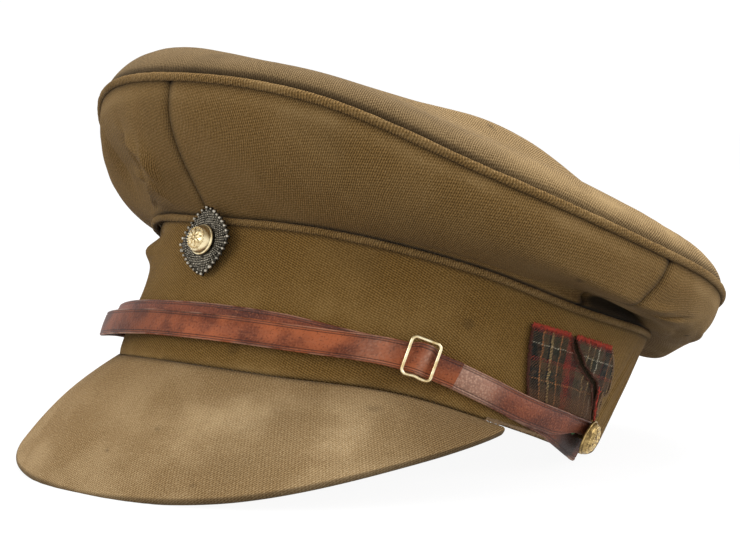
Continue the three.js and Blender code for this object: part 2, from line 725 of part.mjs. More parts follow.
// Badge
const badgeFrame = standOnBand(BADGE.turn, BADGE.height, BADGE.clear, BADGE.lean, BADGE.roll);
placed(add('badge_plate', badgePlate(), COLOURS.silver, 0.5, 1), badgeFrame);
placed(add('badge_boss', bossBody(), COLOURS.brass, 0.3, 1), badgeFrame);

const root = new THREE.Group();
root.add(cap);
root.updateMatrixWorld(true);
const bounds = new THREE.Box3().setFromObject(root, true);
const middle = bounds.getCenter(new THREE.Vector3());
cap.position.set(-middle.x, -middle.y, -restHeight);
export default root;
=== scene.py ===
# %% [markdown]
# # A worn khaki peaked cap
# The real cap is sewn from a few shaped pieces of twill: a round top, four side panels that
# droop over a stiff band, and a cloth-covered peak. A leather strap, a badge and two torn
# pieces of tartan are fixed to the band. This lesson makes each piece as its own thin shell
# from the same short tables that the solid model is drawn from, and then gives the cloth,
# leather and metal their grain, wear and shine.

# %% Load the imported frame
import math

import bmesh
import bpy
import numpy as np
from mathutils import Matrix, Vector, noise


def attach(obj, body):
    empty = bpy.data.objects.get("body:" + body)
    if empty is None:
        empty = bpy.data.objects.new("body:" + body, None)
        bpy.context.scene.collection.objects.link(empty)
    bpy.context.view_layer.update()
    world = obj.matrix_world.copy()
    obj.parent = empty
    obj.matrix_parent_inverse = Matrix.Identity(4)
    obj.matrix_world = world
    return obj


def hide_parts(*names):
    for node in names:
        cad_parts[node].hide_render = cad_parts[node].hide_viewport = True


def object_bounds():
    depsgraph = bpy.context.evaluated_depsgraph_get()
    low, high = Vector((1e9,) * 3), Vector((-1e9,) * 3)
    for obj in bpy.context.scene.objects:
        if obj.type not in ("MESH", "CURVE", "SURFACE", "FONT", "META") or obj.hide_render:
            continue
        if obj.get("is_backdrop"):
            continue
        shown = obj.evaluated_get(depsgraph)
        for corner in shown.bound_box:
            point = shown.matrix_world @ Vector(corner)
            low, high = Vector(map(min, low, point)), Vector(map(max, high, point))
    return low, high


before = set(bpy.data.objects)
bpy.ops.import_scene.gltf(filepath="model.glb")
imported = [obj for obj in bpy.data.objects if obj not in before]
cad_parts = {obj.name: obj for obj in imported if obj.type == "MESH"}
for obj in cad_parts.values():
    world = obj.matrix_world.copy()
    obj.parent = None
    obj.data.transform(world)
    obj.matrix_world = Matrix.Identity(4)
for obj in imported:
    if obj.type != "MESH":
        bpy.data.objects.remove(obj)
cad_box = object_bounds()
print("CAD nodes:", len(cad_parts))

# %% [markdown]
# ## The cap's own frame
# The cap rests on its peak and the back of its band, so it stands tilted back. It is easier to
# draw it level, with the band's plane at z = 0, the front at -Y and the wearer's left at +X,
# and to turn the finished points into place. Places round the cap are given by the turn, in
# degrees from the centre front towards the wearer's left.

# %% From the cap's frame to the row frame
MM = 0.001


def rows_of(columns, *rows):
    """A list of rows, each read by the names of the columns."""
    return [dict(zip(columns.split(), row)) for row in rows]


REST_TILT = math.radians(15.7)
CAP_ORIGIN = np.array([0.0, -0.006919, 0.021862])


def to_row(points):
    """Points of the level cap, in millimetres, as they stand in the row frame, in metres."""
    x, y, z = np.moveaxis(np.asarray(points, float), -1, 0)
    c, s = math.cos(REST_TILT), math.sin(REST_TILT)
    return np.stack([x, c * y + s * z, c * z - s * y], -1) * MM + CAP_ORIGIN


# %% The ovals and the stations
BAND_FOOT = {"half_width": 85.0, "half_length": 100.1, "back": 0.0}
BAND_HEAD = {"half_width": 96.5, "half_length": 99.7, "back": 8.3}
CROWN_EDGE = {"half_width": 120.3, "half_length": 128.9, "back": 6.2}
CROWN_WELT_RADIUS = 1.7
BAND_WELT_RADIUS = 1.4
BAND_WELT_SET_IN = 0.3
TOP_SET_IN = 2.1
GAP = 0.3
CLOTH = 1.6
BAND_WALL = 2.6
PEAK_WALL = 2.8

STATION_STEP = 30.0
STATIONS = {
    "foot": (-4.9, -4.0, -1.0, -4.4, -5.8, 3.5, 4.7),
    "head": (48.4, 49.4, 47.2, 42.7, 44.1, 46.4, 46.8),
    "edge": (93.8, 91.1, 77.8, 69.4, 66.6, 63.1, 62.3),
    "leave_out": (7, 11, 13, 12, 11, 12, 11),
    "leave_up": (9, 3, 1, 0, -3, -4, -5),
    "meet_out": (-1, 0, 2, 3, 0, -2, 3),
    "meet_down": (20, 19, 17, 19, 20, 19, 22),
}


def hermite(start, leave, end, arrive, u):
    cube, square = u**3, u**2
    return (
        (2 * cube - 3 * square + 1) * start
        + (cube - 2 * square + u) * leave
        + (3 * square - 2 * cube) * end
        + (cube - square) * arrive
    )


def station(column, turn):
    """A height or length at any turn. The stations are the same on the left and the right."""
    row = np.array(STATIONS[column], float)
    last = len(row) - 1
    folded = np.abs((np.asarray(turn, float) + 540) % 360 - 180)
    i = np.minimum(np.floor(folded / STATION_STEP), last - 1).astype(int)

    def at(n):
        return row[np.where(n < 0, -n, np.where(n > last, 2 * last - n, n))]

    leave = (at(i + 1) - at(i - 1)) / 2
    arrive = (at(i + 2) - at(i)) / 2
    return hermite(at(i), leave, at(i + 1), arrive, folded / STATION_STEP - i)


def on_oval(oval, turn, height):
    angle = np.radians(turn)
    x = oval["half_width"] * np.sin(angle)
    y = oval["back"] - oval["half_length"] * np.cos(angle)
    return np.stack(np.broadcast_arrays(x, y, height), -1)


def outwards(oval, turn):
    angle = np.radians(turn)
    away = np.stack(
        np.broadcast_arrays(
            np.sin(angle) / oval["half_width"], -np.cos(angle) / oval["half_length"], 0.0
        ),
        -1,
    )
    return away / np.linalg.norm(away, axis=-1, keepdims=True)


UP = np.array([0.0, 0.0, 1.0])
print("head height at the front:", round(float(station("head", 0.0)), 1), "mm")

# %% [markdown]
# ## Soft forms
# Cloth that has been worn is never a clean surface. The large dents come from the same tables
# as the solids, and a second table gives the folds that only the eye needs. Each fold is a long
# soft bump with a place, a length, a width and a lean, so one function can draw them all. Fine
# unevenness comes from smooth noise, which is fixed by its seed.

# %% Large forms, shared with the solids
DOME = {"height": 16.7, "squareness": 4, "shoulder": 0.52, "rim_power": 3, "form_power": 7}
TOP_FORMS = rows_of(
    "x y reach_x reach_y rise",
    (40.6, 7.4, 24.6, 60.6, 16.6),
    (-61.0, -101.0, 69.0, 62.7, 15.0),
)
FORM_DIRECTION = {"slope": 0.6, "edge_fade": 9}
SIDE_FORMS = rows_of(
    "turn up reach_turn reach_up rise",
    (-32, 0.45, 12, 0.30, -7.0),
    (-15, 0.35, 8, 0.32, 3.0),
    (93, 0.25, 19, 0.17, -8.0),
    (92, 0.52, 20, 0.12, 2.5),
    (113, 0.20, 6, 0.20, -6.0),
    (163, 0.38, 12, 0.25, 7.0),
    (-136, 0.42, 18, 0.25, 2.0),
    (172, 0.40, 8, 0.30, -3.0),
)
BAND_FORMS = rows_of(
    "turn up reach_turn reach_up rise",
    (-36, 0.95, 14, 0.08, -4.0),
    (-36, 0.80, 14, 0.07, 2.5),
    (-40, 0.60, 20, 0.28, -3.5),
)


def swelling(across, along):
    return np.exp(-across * across - along * along)


def hump(value, middle, width, power=2):
    """1 at the middle, falling softly to 0 on both sides. A higher power has a flatter top."""
    return np.exp(-(((value - middle) / width) ** power))


def forms_at(forms, turn, up):
    total = 0.0
    for form in forms:
        across = ((turn - form["turn"] + 540) % 360 - 180) / form["reach_turn"]
        total = total + form["rise"] * swelling(across, (up - form["up"]) / form["reach_up"])
    return total


# %% Folds and unevenness for the eye
PANEL_DEPTH = 55.0
TURN_LENGTH = 2.1


def folds_at(folds, turn, up, depth=PANEL_DEPTH):
    """Long soft bumps. Lean is the fold's angle above level, in degrees."""
    total = 0.0
    for fold in folds:
        x = ((turn - fold["turn"] + 540) % 360 - 180) * TURN_LENGTH
        y = (up - fold["up"]) * depth
        c, s = math.cos(math.radians(fold["lean"])), math.sin(math.radians(fold["lean"]))
        along = (x * c + y * s) / fold["length"]
        across = (y * c - x * s) / fold["width"]
        total = total + fold["rise"] * swelling(across, along)
    return total


def lumps(points, size, seed):
    """Smooth noise from -1 to 1 at points in millimetres."""
    shift = Vector((seed * 7.31, seed * 3.17, seed * 5.53))
    flat = np.asarray(points).reshape(-1, 3) / size
    values = [noise.noise(Vector(p) + shift) for p in flat]
    return np.array(values).reshape(points.shape[:-1])


# %% Stains and steps


def smooth(value, low, high):
    """0 at low and 1 at high, with soft ends."""
    share = np.clip((value - low) / (high - low), 0, 1)
    return share * share * (3 - 2 * share)


def rubbed_at(places, a, b):
    """Soft worn places, each with a middle and a reach both ways, and a strength."""
    total = 0.0
    for place in places:
        across = (a - place["a"]) / place["reach_a"]
        total = total + place["strength"] * swelling(across, (b - place["b"]) / place["reach_b"])
    return total


def spots_at(spots, a, b, a_length, b_length):
    """Small round stains, each a place on a surface, a radius in millimetres and a strength."""
    total = 0.0
    for place_a, place_b, radius, strength in spots:
        away = ((a - place_a) * a_length) ** 2 + ((b - place_b) * b_length) ** 2
        total = total + strength * np.exp(-((away / radius**2) ** 2))
    return total


# %% [markdown]
# ## Shells from grids of points
# A sewn panel is one sheet, so it is made as a grid of points, with a second set of points for
# its flat layout in metres. That layout is the UV map, and the twill is woven on it, so the
# weave follows the cloth round every dent. A Solidify modifier then gives the sheet its
# thickness. It is applied at once, so that each piece ends as a plain mesh.

# %% Grid, wall and tube makers


def new_object(name, mesh):
    obj = bpy.data.objects.new(name, mesh)
    bpy.context.scene.collection.objects.link(obj)
    return obj


def grid_object(name, points, layout, ring=False, flip=False, values=None):
    """A quad mesh over rows and columns of points in the row frame, with its UV layout."""
    rows, columns = points.shape[:2]
    spans = rows if ring else rows - 1
    r, c = np.meshgrid(np.arange(spans), np.arange(columns - 1), indexing="ij")
    r, c = r.ravel(), c.ravel()
    corner_rows = np.stack([r, r + 1, r + 1, r], 1)
    corner_columns = np.stack([c, c, c + 1, c + 1], 1)
    if flip:
        corner_rows, corner_columns = corner_rows[:, ::-1], corner_columns[:, ::-1]
    faces = (corner_rows % rows) * columns + corner_columns
    mesh = bpy.data.meshes.new(name)
    mesh.from_pydata(points.reshape(-1, 3).tolist(), [], faces.tolist())
    uv = mesh.uv_layers.new(name="cloth")
    flat = layout[corner_rows.ravel(), corner_columns.ravel()]
    uv.data.foreach_set("uv", flat.ravel())
    for key, value in (values or {}).items():
        attribute = mesh.attributes.new(key, "FLOAT", "POINT")
        attribute.data.foreach_set("value", np.broadcast_to(value, (rows, columns)).ravel())
    mesh.shade_smooth()
    return new_object(name, mesh)


def applied(obj, *modifiers):
    """The object with its modifiers made part of its mesh."""
    for kind, settings in modifiers:
        modifier = obj.modifiers.new(kind.title(), kind)
        for key, value in settings.items():
            setattr(modifier, key, value)
    bpy.context.view_layer.update()
    graph = bpy.context.evaluated_depsgraph_get()
    evaluated = obj.evaluated_get(graph)
    mesh = bpy.data.meshes.new_from_object(evaluated, preserve_all_data_layers=True, depsgraph=graph)
    obj.modifiers.clear()
    obj.data = mesh
    return obj


def wall_of(obj, thick):
    """The sheet with a wall of cloth behind it, whose hidden face takes the second material."""
    return applied(
        obj,
        ("SOLIDIFY", {"thickness": thick * MM, "offset": -1.0, "material_offset": 1}),
    )


def with_ends_closed(obj):
    """The open ends of a tube filled, and all faces turned outwards."""
    work = bmesh.new()
    work.from_mesh(obj.data)
    open_edges = [edge for edge in work.edges if edge.is_boundary]
    bmesh.ops.holes_fill(work, edges=open_edges, sides=0)
    bmesh.ops.recalc_face_normals(work, faces=work.faces)
    work.to_mesh(obj.data)
    work.free()
    return obj


WELD_REACH = 0.00001


def welded(obj):
    return applied(obj, ("WELD", {"merge_threshold": WELD_REACH}))


def closed_rings(name, points):
    """A closed body from rings of points, laid out by their count."""
    counts = np.arange(len(points) + 1), np.arange(points.shape[1])
    layout = np.stack(np.meshgrid(*counts, indexing="ij"), -1) * MM
    return with_ends_closed(welded(grid_object(name, points, layout, ring=True)))


def padded(grid, before=0):
    """The grid with its last column repeated, and its first too, for what is tucked in."""
    return np.concatenate([grid[:, :1]] * before + [grid, grid[:, -1:]], 1)


def fitted(obj, material, slot, *nodes, lining=None):
    """The piece takes its materials and its body, and the CAD nodes it stands for are hidden. The slot
    is not used.
    """
    obj.data.materials.clear()
    obj.data.materials.append(material)
    if lining:
        obj.data.materials.append(lining)
    if nodes:
        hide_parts(*nodes)
    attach(obj, "root")
    print(obj.name, "has", len(obj.data.polygons), "faces")
    return obj


# %% Lengths along a sheet


def cloth_lengths(points):
    """How far each column of points has run up the sheet, in metres."""
    steps = np.linalg.norm(np.diff(points, axis=1), axis=-1)
    return np.concatenate([np.zeros((len(points), 1)), np.cumsum(steps, 1)], 1) * MM


# %% [markdown]
# ## Cloth
# The whole cap is twill: fine diagonal ridges a little under a millimetre apart. Each ridge is
# a row of short raised floats of yarn. Two sine waves on the panel's own layout draw them, one
# along the diagonal and one across it, and noise makes the yarn uneven. The same pattern feeds
# the colour and the bump, so the ridges are lighter where they stand up, as worn cloth is.

# %% Node helpers


def new_material(name):
    material = bpy.data.materials.new(name)
    material.use_nodes = True
    tree = material.node_tree
    return material, tree, tree.nodes["Principled BSDF"]


def add_node(tree, kind, settings=None, **inputs):
    node = tree.nodes.new(kind)
    for key, value in (settings or {}).items():
        setattr(node, key, value)
    for key, value in inputs.items():
        socket = node.inputs[int(key[1:])] if key[0] == "i" and key[1:].isdigit() else node.inputs[key]
        if isinstance(value, bpy.types.NodeSocket):
            tree.links.new(value, socket)
        else:
            socket.default_value = value
    return node


def math_node(tree, operation, a, b=0.0, clamp=False):
    settings = {"operation": operation, "use_clamp": clamp}
    return add_node(tree, "ShaderNodeMath", settings, i0=a, i1=b).outputs[0]


def plus(tree, a, b, clamp=False):
    return math_node(tree, "ADD", a, b, clamp)


def times(tree, a, b, clamp=False):
    return math_node(tree, "MULTIPLY", a, b, clamp)


def wave(tree, value):
    """A sine wave that repeats with every whole number."""
    return math_node(tree, "SINE", times(tree, value, 2 * math.pi))


def noise_node(tree, place, scale, detail):
    node = add_node(tree, "ShaderNodeTexNoise", {}, Vector=place, Scale=scale, Detail=detail)
    return node.outputs[0]


def carried(tree, name):
    """A value that the mesh's points carry."""
    return add_node(tree, "ShaderNodeAttribute", {"attribute_name": name}).outputs[2]


def laid_out(tree):
    return add_node(tree, "ShaderNodeUVMap", {"uv_map": "cloth"}).outputs[0]


def surfaced(tree, shader, colour, height, depth, roughness, shine):
    """The colour, the relief and the shine that a material ends with."""
    tree.links.new(colour, shader.inputs["Base Color"])
    bump = add_node(tree, "ShaderNodeBump", {}, Distance=depth, Height=height, Strength=1.0)
    tree.links.new(bump.outputs[0], shader.inputs["Normal"])
    shader.inputs["Roughness"].default_value = roughness
    shader.inputs["Specular IOR Level"].default_value = shine


def mix_colour(tree, factor, a, b, blend="MIX"):
    node = add_node(tree, "ShaderNodeMix", {"data_type": "RGBA", "blend_type": blend})
    for socket, value in ((node.inputs[0], factor), (node.inputs[6], a), (node.inputs[7], b)):
        if isinstance(value, bpy.types.NodeSocket):
            tree.links.new(value, socket)
        else:
            socket.default_value = value
    return node.outputs[2]


def rgb(red, green, blue):
    return (red, green, blue, 1.0)


def ramp(tree, value, low, high):
    """A value spread from low..high to 0..1, with soft ends."""
    settings = {"interpolation_type": "SMOOTHSTEP"}
    node = add_node(tree, "ShaderNodeMapRange", settings, i0=value, i1=low, i2=high)
    return node.outputs[0]


# %% [markdown]
# ## Small things that repeat
# Beads, petals, stitches and loose threads are all small rounded grains. One Geometry Nodes
# tree sets a grain on every point of a piece, turned to the directions that the point carries
# as attributes. Its inputs are the grain's length, breadth and rise, and how far each grain
# strays from its direction, with a seed that keeps the straying the same each time.

# %% Grain tree
GRAIN_INPUTS = (
    ("Geometry", "NodeSocketGeometry"),
    ("Length", "NodeSocketFloat"),
    ("Breadth", "NodeSocketFloat"),
    ("Rise", "NodeSocketFloat"),
    ("Stray", "NodeSocketFloat"),
    ("Seed", "NodeSocketInt"),
    ("Material", "NodeSocketMaterial"),
)


def grain_tree():
    tree = bpy.data.node_groups.new("grains", "GeometryNodeTree")
    for name, kind in GRAIN_INPUTS:
        tree.interface.new_socket(name, in_out="INPUT", socket_type=kind)
    tree.interface.new_socket("Geometry", in_out="OUTPUT", socket_type="NodeSocketGeometry")
    given = tree.nodes.new("NodeGroupInput").outputs
    ball = add_node(tree, "GeometryNodeMeshIcoSphere", {}, Radius=0.5, Subdivisions=2).outputs[0]

    def point_value(name, kind):
        node = add_node(tree, "GeometryNodeInputNamedAttribute", {"data_type": kind}, Name=name)
        return node.outputs[0]

    out = {"axis": "Z"}
    turned = add_node(
        tree, "FunctionNodeAlignRotationToVector", out, Vector=point_value("facing", "FLOAT_VECTOR")
    ).outputs[0]
    along = {"axis": "X", "pivot_axis": "Z"}
    turned = add_node(
        tree,
        "FunctionNodeAlignRotationToVector",
        along,
        Rotation=turned,
        Vector=point_value("along", "FLOAT_VECTOR"),
    ).outputs[0]
    low = add_node(tree, "ShaderNodeMath", {"operation": "MULTIPLY"}, i0=given["Stray"], i1=-1.0)
    angle = add_node(
        tree,
        "FunctionNodeRandomValue",
        {"data_type": "FLOAT"},
        i2=low.outputs[0],
        i3=given["Stray"],
        Seed=given["Seed"],
    ).outputs[1]
    spin = add_node(tree, "ShaderNodeCombineXYZ", {}, Y=times(tree, angle, 0.5), Z=angle)
    spin = add_node(tree, "FunctionNodeEulerToRotation", {}, Euler=spin.outputs[0]).outputs[0]
    turned = add_node(
        tree, "FunctionNodeRotateRotation", {"rotation_space": "LOCAL"}, i0=turned, i1=spin
    ).outputs[0]
    shape = add_node(
        tree, "ShaderNodeCombineXYZ", {}, X=given["Length"], Y=given["Breadth"], Z=given["Rise"]
    ).outputs[0]
    scale = {"operation": "SCALE"}
    size = add_node(
        tree, "ShaderNodeVectorMath", scale, Vector=shape, Scale=point_value("size", "FLOAT")
    ).outputs[0]
    set_out = add_node(
        tree,
        "GeometryNodeInstanceOnPoints",
        {},
        Points=given["Geometry"],
        Instance=ball,
        Rotation=turned,
        Scale=size,
    ).outputs[0]
    real = add_node(tree, "GeometryNodeRealizeInstances", {}, Geometry=set_out).outputs[0]
    real = add_node(tree, "GeometryNodeSetShadeSmooth", {}, Geometry=real).outputs[0]
    real = add_node(
        tree, "GeometryNodeSetMaterial", {}, Geometry=real, Material=given["Material"]
    ).outputs[0]
    result = tree.nodes.new("NodeGroupOutput")
    tree.links.new(real, result.inputs[0])
    return tree


# %% Grain maker
GRAINS = grain_tree()


def grains_object(name, places, facing, along, size, material, shape, stray=0.0, seed=1):
    """Grains set on places in the row frame, with their own sizes and directions."""
    mesh = bpy.data.meshes.new(name)
    mesh.from_pydata(np.asarray(places).reshape(-1, 3).tolist(), [], [])
    count = len(mesh.vertices)
    for key, kind, value in (
        ("facing", "FLOAT_VECTOR", facing),
        ("along", "FLOAT_VECTOR", along),
        ("size", "FLOAT", size),
    ):
        attribute = mesh.attributes.new(key, kind, "POINT")
        width = (count, 3) if kind == "FLOAT_VECTOR" else (count,)
        field = "vector" if kind == "FLOAT_VECTOR" else "value"
        attribute.data.foreach_set(field, np.broadcast_to(value, width).ravel().astype(float))
    obj = new_object(name, mesh)
    modifier = obj.modifiers.new("Grains", "NODES")
    modifier.node_group = GRAINS
    settings = dict(zip(("Length", "Breadth", "Rise"), (length * MM for length in shape)))
    settings.update({"Stray": stray, "Seed": seed, "Material": material})
    for item in GRAINS.interface.items_tree:
        if item.in_out == "INPUT" and item.name in settings:
            modifier[item.identifier] = settings[item.name]
    return applied(obj)


# %% Twill
TWILL_PITCH = 0.00076
WEAVE = {"drift": 1.6, "float_rate": 0.62, "stagger": 0.37, "ridge": 0.38, "floats": 0.20}
YARN = {"scale": 0.9, "strength": 2.4, "base": -0.2}
COTTON_SHEEN = rgb(1.0, 0.86, 0.62)
# One near-black for dirt and for painted shade in creases and hollows.
DIRT_AND_SHADE = rgb(0.020, 0.012, 0.006)


def twill_material(name, dark, light, worn, lean, depth=0.00020, pitch=TWILL_PITCH):
    """Twill on the piece's own layout. Lean is the ridges' angle above level, in degrees."""
    material, tree, shader = new_material(name)
    layout = laid_out(tree)
    drift = noise_node(tree, layout, 90.0, 1.0)
    turned = add_node(
        tree,
        "ShaderNodeMapping",
        {"vector_type": "POINT"},
        Vector=layout,
        Rotation=(0.0, 0.0, -math.radians(lean)),
        Scale=(1 / pitch, 1 / pitch, 1 / pitch),
    ).outputs[0]
    split = add_node(tree, "ShaderNodeSeparateXYZ", {}, i0=turned)
    across = plus(tree, split.outputs[1], times(tree, drift, WEAVE["drift"]))
    ridge = wave(tree, across)
    stagger = times(tree, math_node(tree, "FLOOR", across), WEAVE["stagger"])
    along = plus(tree, times(tree, split.outputs[0], WEAVE["float_rate"]), stagger)
    floats = wave(tree, along)
    yarn = noise_node(tree, turned, YARN["scale"], 3.0)
    weave = plus(tree, times(tree, ridge, WEAVE["ridge"]), 0.5)
    weave = plus(tree, weave, times(tree, floats, WEAVE["floats"]))
    speckle = plus(tree, times(tree, yarn, YARN["strength"]), YARN["base"])
    weave = times(tree, weave, speckle, clamp=True)
    patches = noise_node(tree, layout, 34.0, 6.0)
    rubbed = ramp(tree, patches, 0.40, 0.66)
    wear_and_highlight = carried(tree, "wear_and_highlight")
    wear_and_highlight = times(tree, wear_and_highlight, plus(tree, rubbed, 0.45))
    wear_and_highlight = plus(tree, wear_and_highlight, times(tree, rubbed, 0.18), clamp=True)
    colour = mix_colour(tree, weave, dark, light)
    colour = mix_colour(tree, wear_and_highlight, colour, mix_colour(tree, weave, light, worn))
    fluff = noise_node(tree, turned, 1.15, 1.0)
    colour = mix_colour(tree, times(tree, ramp(tree, fluff, 0.56, 0.76), 0.42), colour, worn)
    colour = mix_colour(tree, times(tree, ramp(tree, fluff, 0.40, 0.24), 0.5), colour, dark)
    soil = noise_node(tree, layout, 16.0, 5.0)
    soil = times(tree, ramp(tree, soil, 0.50, 0.72), 0.22)
    # Grime and painted shade that the piece carries, with the soil noise, darken the cloth.
    grime_and_shade = carried(tree, "grime_and_shade")
    grime_and_shade = plus(tree, grime_and_shade, soil, clamp=True)
    colour = mix_colour(tree, grime_and_shade, colour, DIRT_AND_SHADE)
    surfaced(tree, shader, colour, weave, depth, 0.95, 0.08)
    shader.inputs["Sheen Weight"].default_value = 0.06
    shader.inputs["Sheen Roughness"].default_value = 0.5
    shader.inputs["Sheen Tint"].default_value = COTTON_SHEEN
    return material


KHAKI_DARK = rgb(0.078, 0.040, 0.0095)
KHAKI_LIGHT = rgb(0.335, 0.195, 0.064)
KHAKI_WORN = rgb(0.42, 0.29, 0.14)
BAND_DARK = rgb(0.074, 0.036, 0.007)
BAND_LIGHT = rgb(0.30, 0.168, 0.044)
BAND_WORN = rgb(0.36, 0.235, 0.095)
# The top's paler tone is partly sun-fading and partly painted light from above.
TOP_LIGHT = rgb(0.46, 0.305, 0.142)
PEAK_DARK = rgb(0.145, 0.080, 0.027)
PEAK_LIGHT = rgb(0.45, 0.285, 0.125)
PEAK_WORN = rgb(0.70, 0.52, 0.30)
top_twill = twill_material("top_twill", KHAKI_DARK, TOP_LIGHT, KHAKI_WORN, -48)
side_twill = twill_material("side_twill", KHAKI_DARK, KHAKI_LIGHT, KHAKI_WORN, 72)
band_twill = twill_material("band_twill", BAND_DARK, BAND_LIGHT, BAND_WORN, -22)
welt_twill = twill_material("welt_twill", KHAKI_DARK, KHAKI_LIGHT, KHAKI_WORN, 84, 0.0004, 0.00105)
peak_twill = twill_material("peak_twill", PEAK_DARK, PEAK_LIGHT, PEAK_WORN, -42)
LINING_DARK = rgb(0.10, 0.066, 0.03)
LINING_LIGHT = rgb(0.2, 0.14, 0.07)
lining_twill = twill_material("lining_twill", LINING_DARK, LINING_LIGHT, KHAKI_WORN, 45)
print("cloths:", [m.name for m in bpy.data.materials if m.name.endswith("twill")])

# %% [markdown]
# ## The crown
# The top is a soft dome. It rises steeply inside the welt, and a long low ridge runs over its
# left rear where the stiffening has broken. A grid in rings and spokes suits its round edge,
# and its layout is its own plan, so the weave runs straight across as on the cut cloth. The
# last ring turns down behind the welt, where the real seam is, so no gap shows.

# %% Crown top


def top_point(turn, out):
    oval_x = (CROWN_EDGE["half_width"] - TOP_SET_IN) * out
    oval_y = (CROWN_EDGE["half_length"] - TOP_SET_IN) * out
    angle = np.radians(turn)
    x = oval_x * np.sin(angle)
    y = CROWN_EDGE["back"] - oval_y * np.cos(angle)
    edge = station("edge", turn) + CROWN_WELT_RADIUS + GAP
    front, left, rear = (station("edge", at) for at in (0.0, 90.0, 180.0))
    middle = (front + rear) / 4 + left / 2
    fall = (rear - front) / 2
    rim = edge - (middle - fall * np.cos(angle))
    dome = DOME["height"] * (1 - out ** DOME["squareness"]) ** DOME["shoulder"]
    forms = 0.0
    for form in TOP_FORMS:
        across = (x - form["x"]) / form["reach_x"]
        forms = forms + form["rise"] * swelling(across, (y - form["y"]) / form["reach_y"])
    z = middle - fall * out * np.cos(angle) + dome
    z = z + rim * out ** DOME["rim_power"] + forms * (1 - out ** DOME["form_power"])
    return np.stack([x, y, z], -1)


TOP_SPOTS = ((54.0, -14.0, 1.6, 0.7), (70.0, 30.0, 3.5, 0.25), (30.0, 60.0, 4.0, 0.25))
TOP_ROWS, TOP_RINGS = 400, 60
turn, step = np.meshgrid(
    np.arange(TOP_ROWS + 1.0) * 360 / TOP_ROWS, np.arange(TOP_RINGS + 1.0), indexing="ij"
)
out = 1 - (1 - step / TOP_RINGS) ** 1.6
out[:, 0] = 0.0
points = top_point(turn, out)
near_rim = np.clip((out - 0.86) / 0.14, 0, 1)
points[..., 2] += 0.7 * lumps(points, 26.0, 3) * (1 - out**6)
points[..., 2] += 0.28 * lumps(points, 5.0, 8) * near_rim * (1 - near_rim) * 4
tuck = points[:, -1:, :] - outwards(CROWN_EDGE, turn[:, -1:]) * 0.5 - UP * 2.2
points = np.concatenate([points, tuck], 1)
spoke = np.radians(turn[:, :1])
run = cloth_lengths(points)
plan = np.stack([run * np.sin(spoke), -run * np.cos(spoke)], -1)
# Paler at the rim's shoulder: rubbed and sun-faded, and partly painted sheen.
worn = np.clip(0.3 * near_rim * (1 - near_rim) * 4 + 0.3 * hump(out, 0.97, 0.02), 0, 1)
# Painted shade at the very rim, where the top turns down behind the welt; darker towards the front; and
# small stains.
soil_and_shade = 0.36 * smooth(-points[:, :-1, 1], 25, 90) + 0.5 * smooth(out, 0.9965, 1.0)
soil_and_shade = soil_and_shade + spots_at(TOP_SPOTS, points[:, :-1, 0], points[:, :-1, 1], 1, 1)
worn = padded(worn) * (1 - smooth(-points[..., 1], 0, 60))
soil_and_shade = np.clip(padded(soil_and_shade), 0, 1)
values = {"wear_and_highlight": worn[:-1], "grime_and_shade": soil_and_shade[:-1]}
crown = grid_object("crown_top_cloth", to_row(points[:-1]), plan, ring=True, values=values)
fitted(wall_of(welded(crown), CLOTH), top_twill, "crown_cloth", "crown_top", lining=lining_twill)

# %% [markdown]
# ## The side panels
# Four panels join the crown's edge to the band. They leave the band almost level and turn up
# to the edge, so each column of the grid is one Bezier curve from welt to welt. Both ends run on
# behind the welts, where the cloth is sewn in.

# %% Side panels
PANEL_FOOT = {"set_in": 1.0, "lift": 0.2}
SEAM_TURN = 0.05
SIDE_FOLDS = rows_of(
    "turn up length width lean rise",
    (-16.5, 0.63, 10, 2.4, -31, 2.2),
    (-11.0, 0.46, 8, 2.6, 92, 2.8),
    (-23.0, 0.22, 14, 2.6, 19, 2.2),
    (-21.0, 0.48, 12, 5.5, 70, -5.0),
    (-27.0, 0.40, 11, 1.9, -16, 2.2),
    (-12.5, 0.30, 7, 1.8, 100, 2.4),
    (-17.0, 0.52, 8, 2.0, 112, -2.6),
    (-38.0, 0.60, 12, 4.0, 70, -2.0),
    (104.0, 0.16, 28, 5.0, -2, -5.0),
    (103.0, 0.32, 30, 2.6, 3, 2.2),
    (107.0, 0.54, 12, 1.6, 24, -2.6),
    (101.0, 0.60, 10, 2.4, 18, 1.2),
    (122.0, 0.42, 14, 3.4, -24, -1.6),
    (132.0, 0.62, 13, 3.0, -12, 1.2),
    (60.0, 0.10, 40, 2.2, 2, -1.2),
)
SIDE_RUBBED = rows_of(
    "a b reach_a reach_b strength",
    (142, 0.55, 24, 0.35, 0.85),
    (105, 0.36, 22, 0.06, 0.3),
)
SIDE_SPOTS = ((124.8, 0.49, 1.3, 0.9), (80.0, 0.49, 1.6, 0.55), (134.0, 0.55, 1.0, 0.5))


def undercut_shade(turn, up):
    """How deep a place lies under the left-hand lip, for the painted shade that darkens the cloth
    there.
    """
    reach = 0.28 * hump(turn, 105, 16) + 0.015
    return smooth(reach - up, -0.03, 0.05) * smooth(reach, 0.05, 0.2)


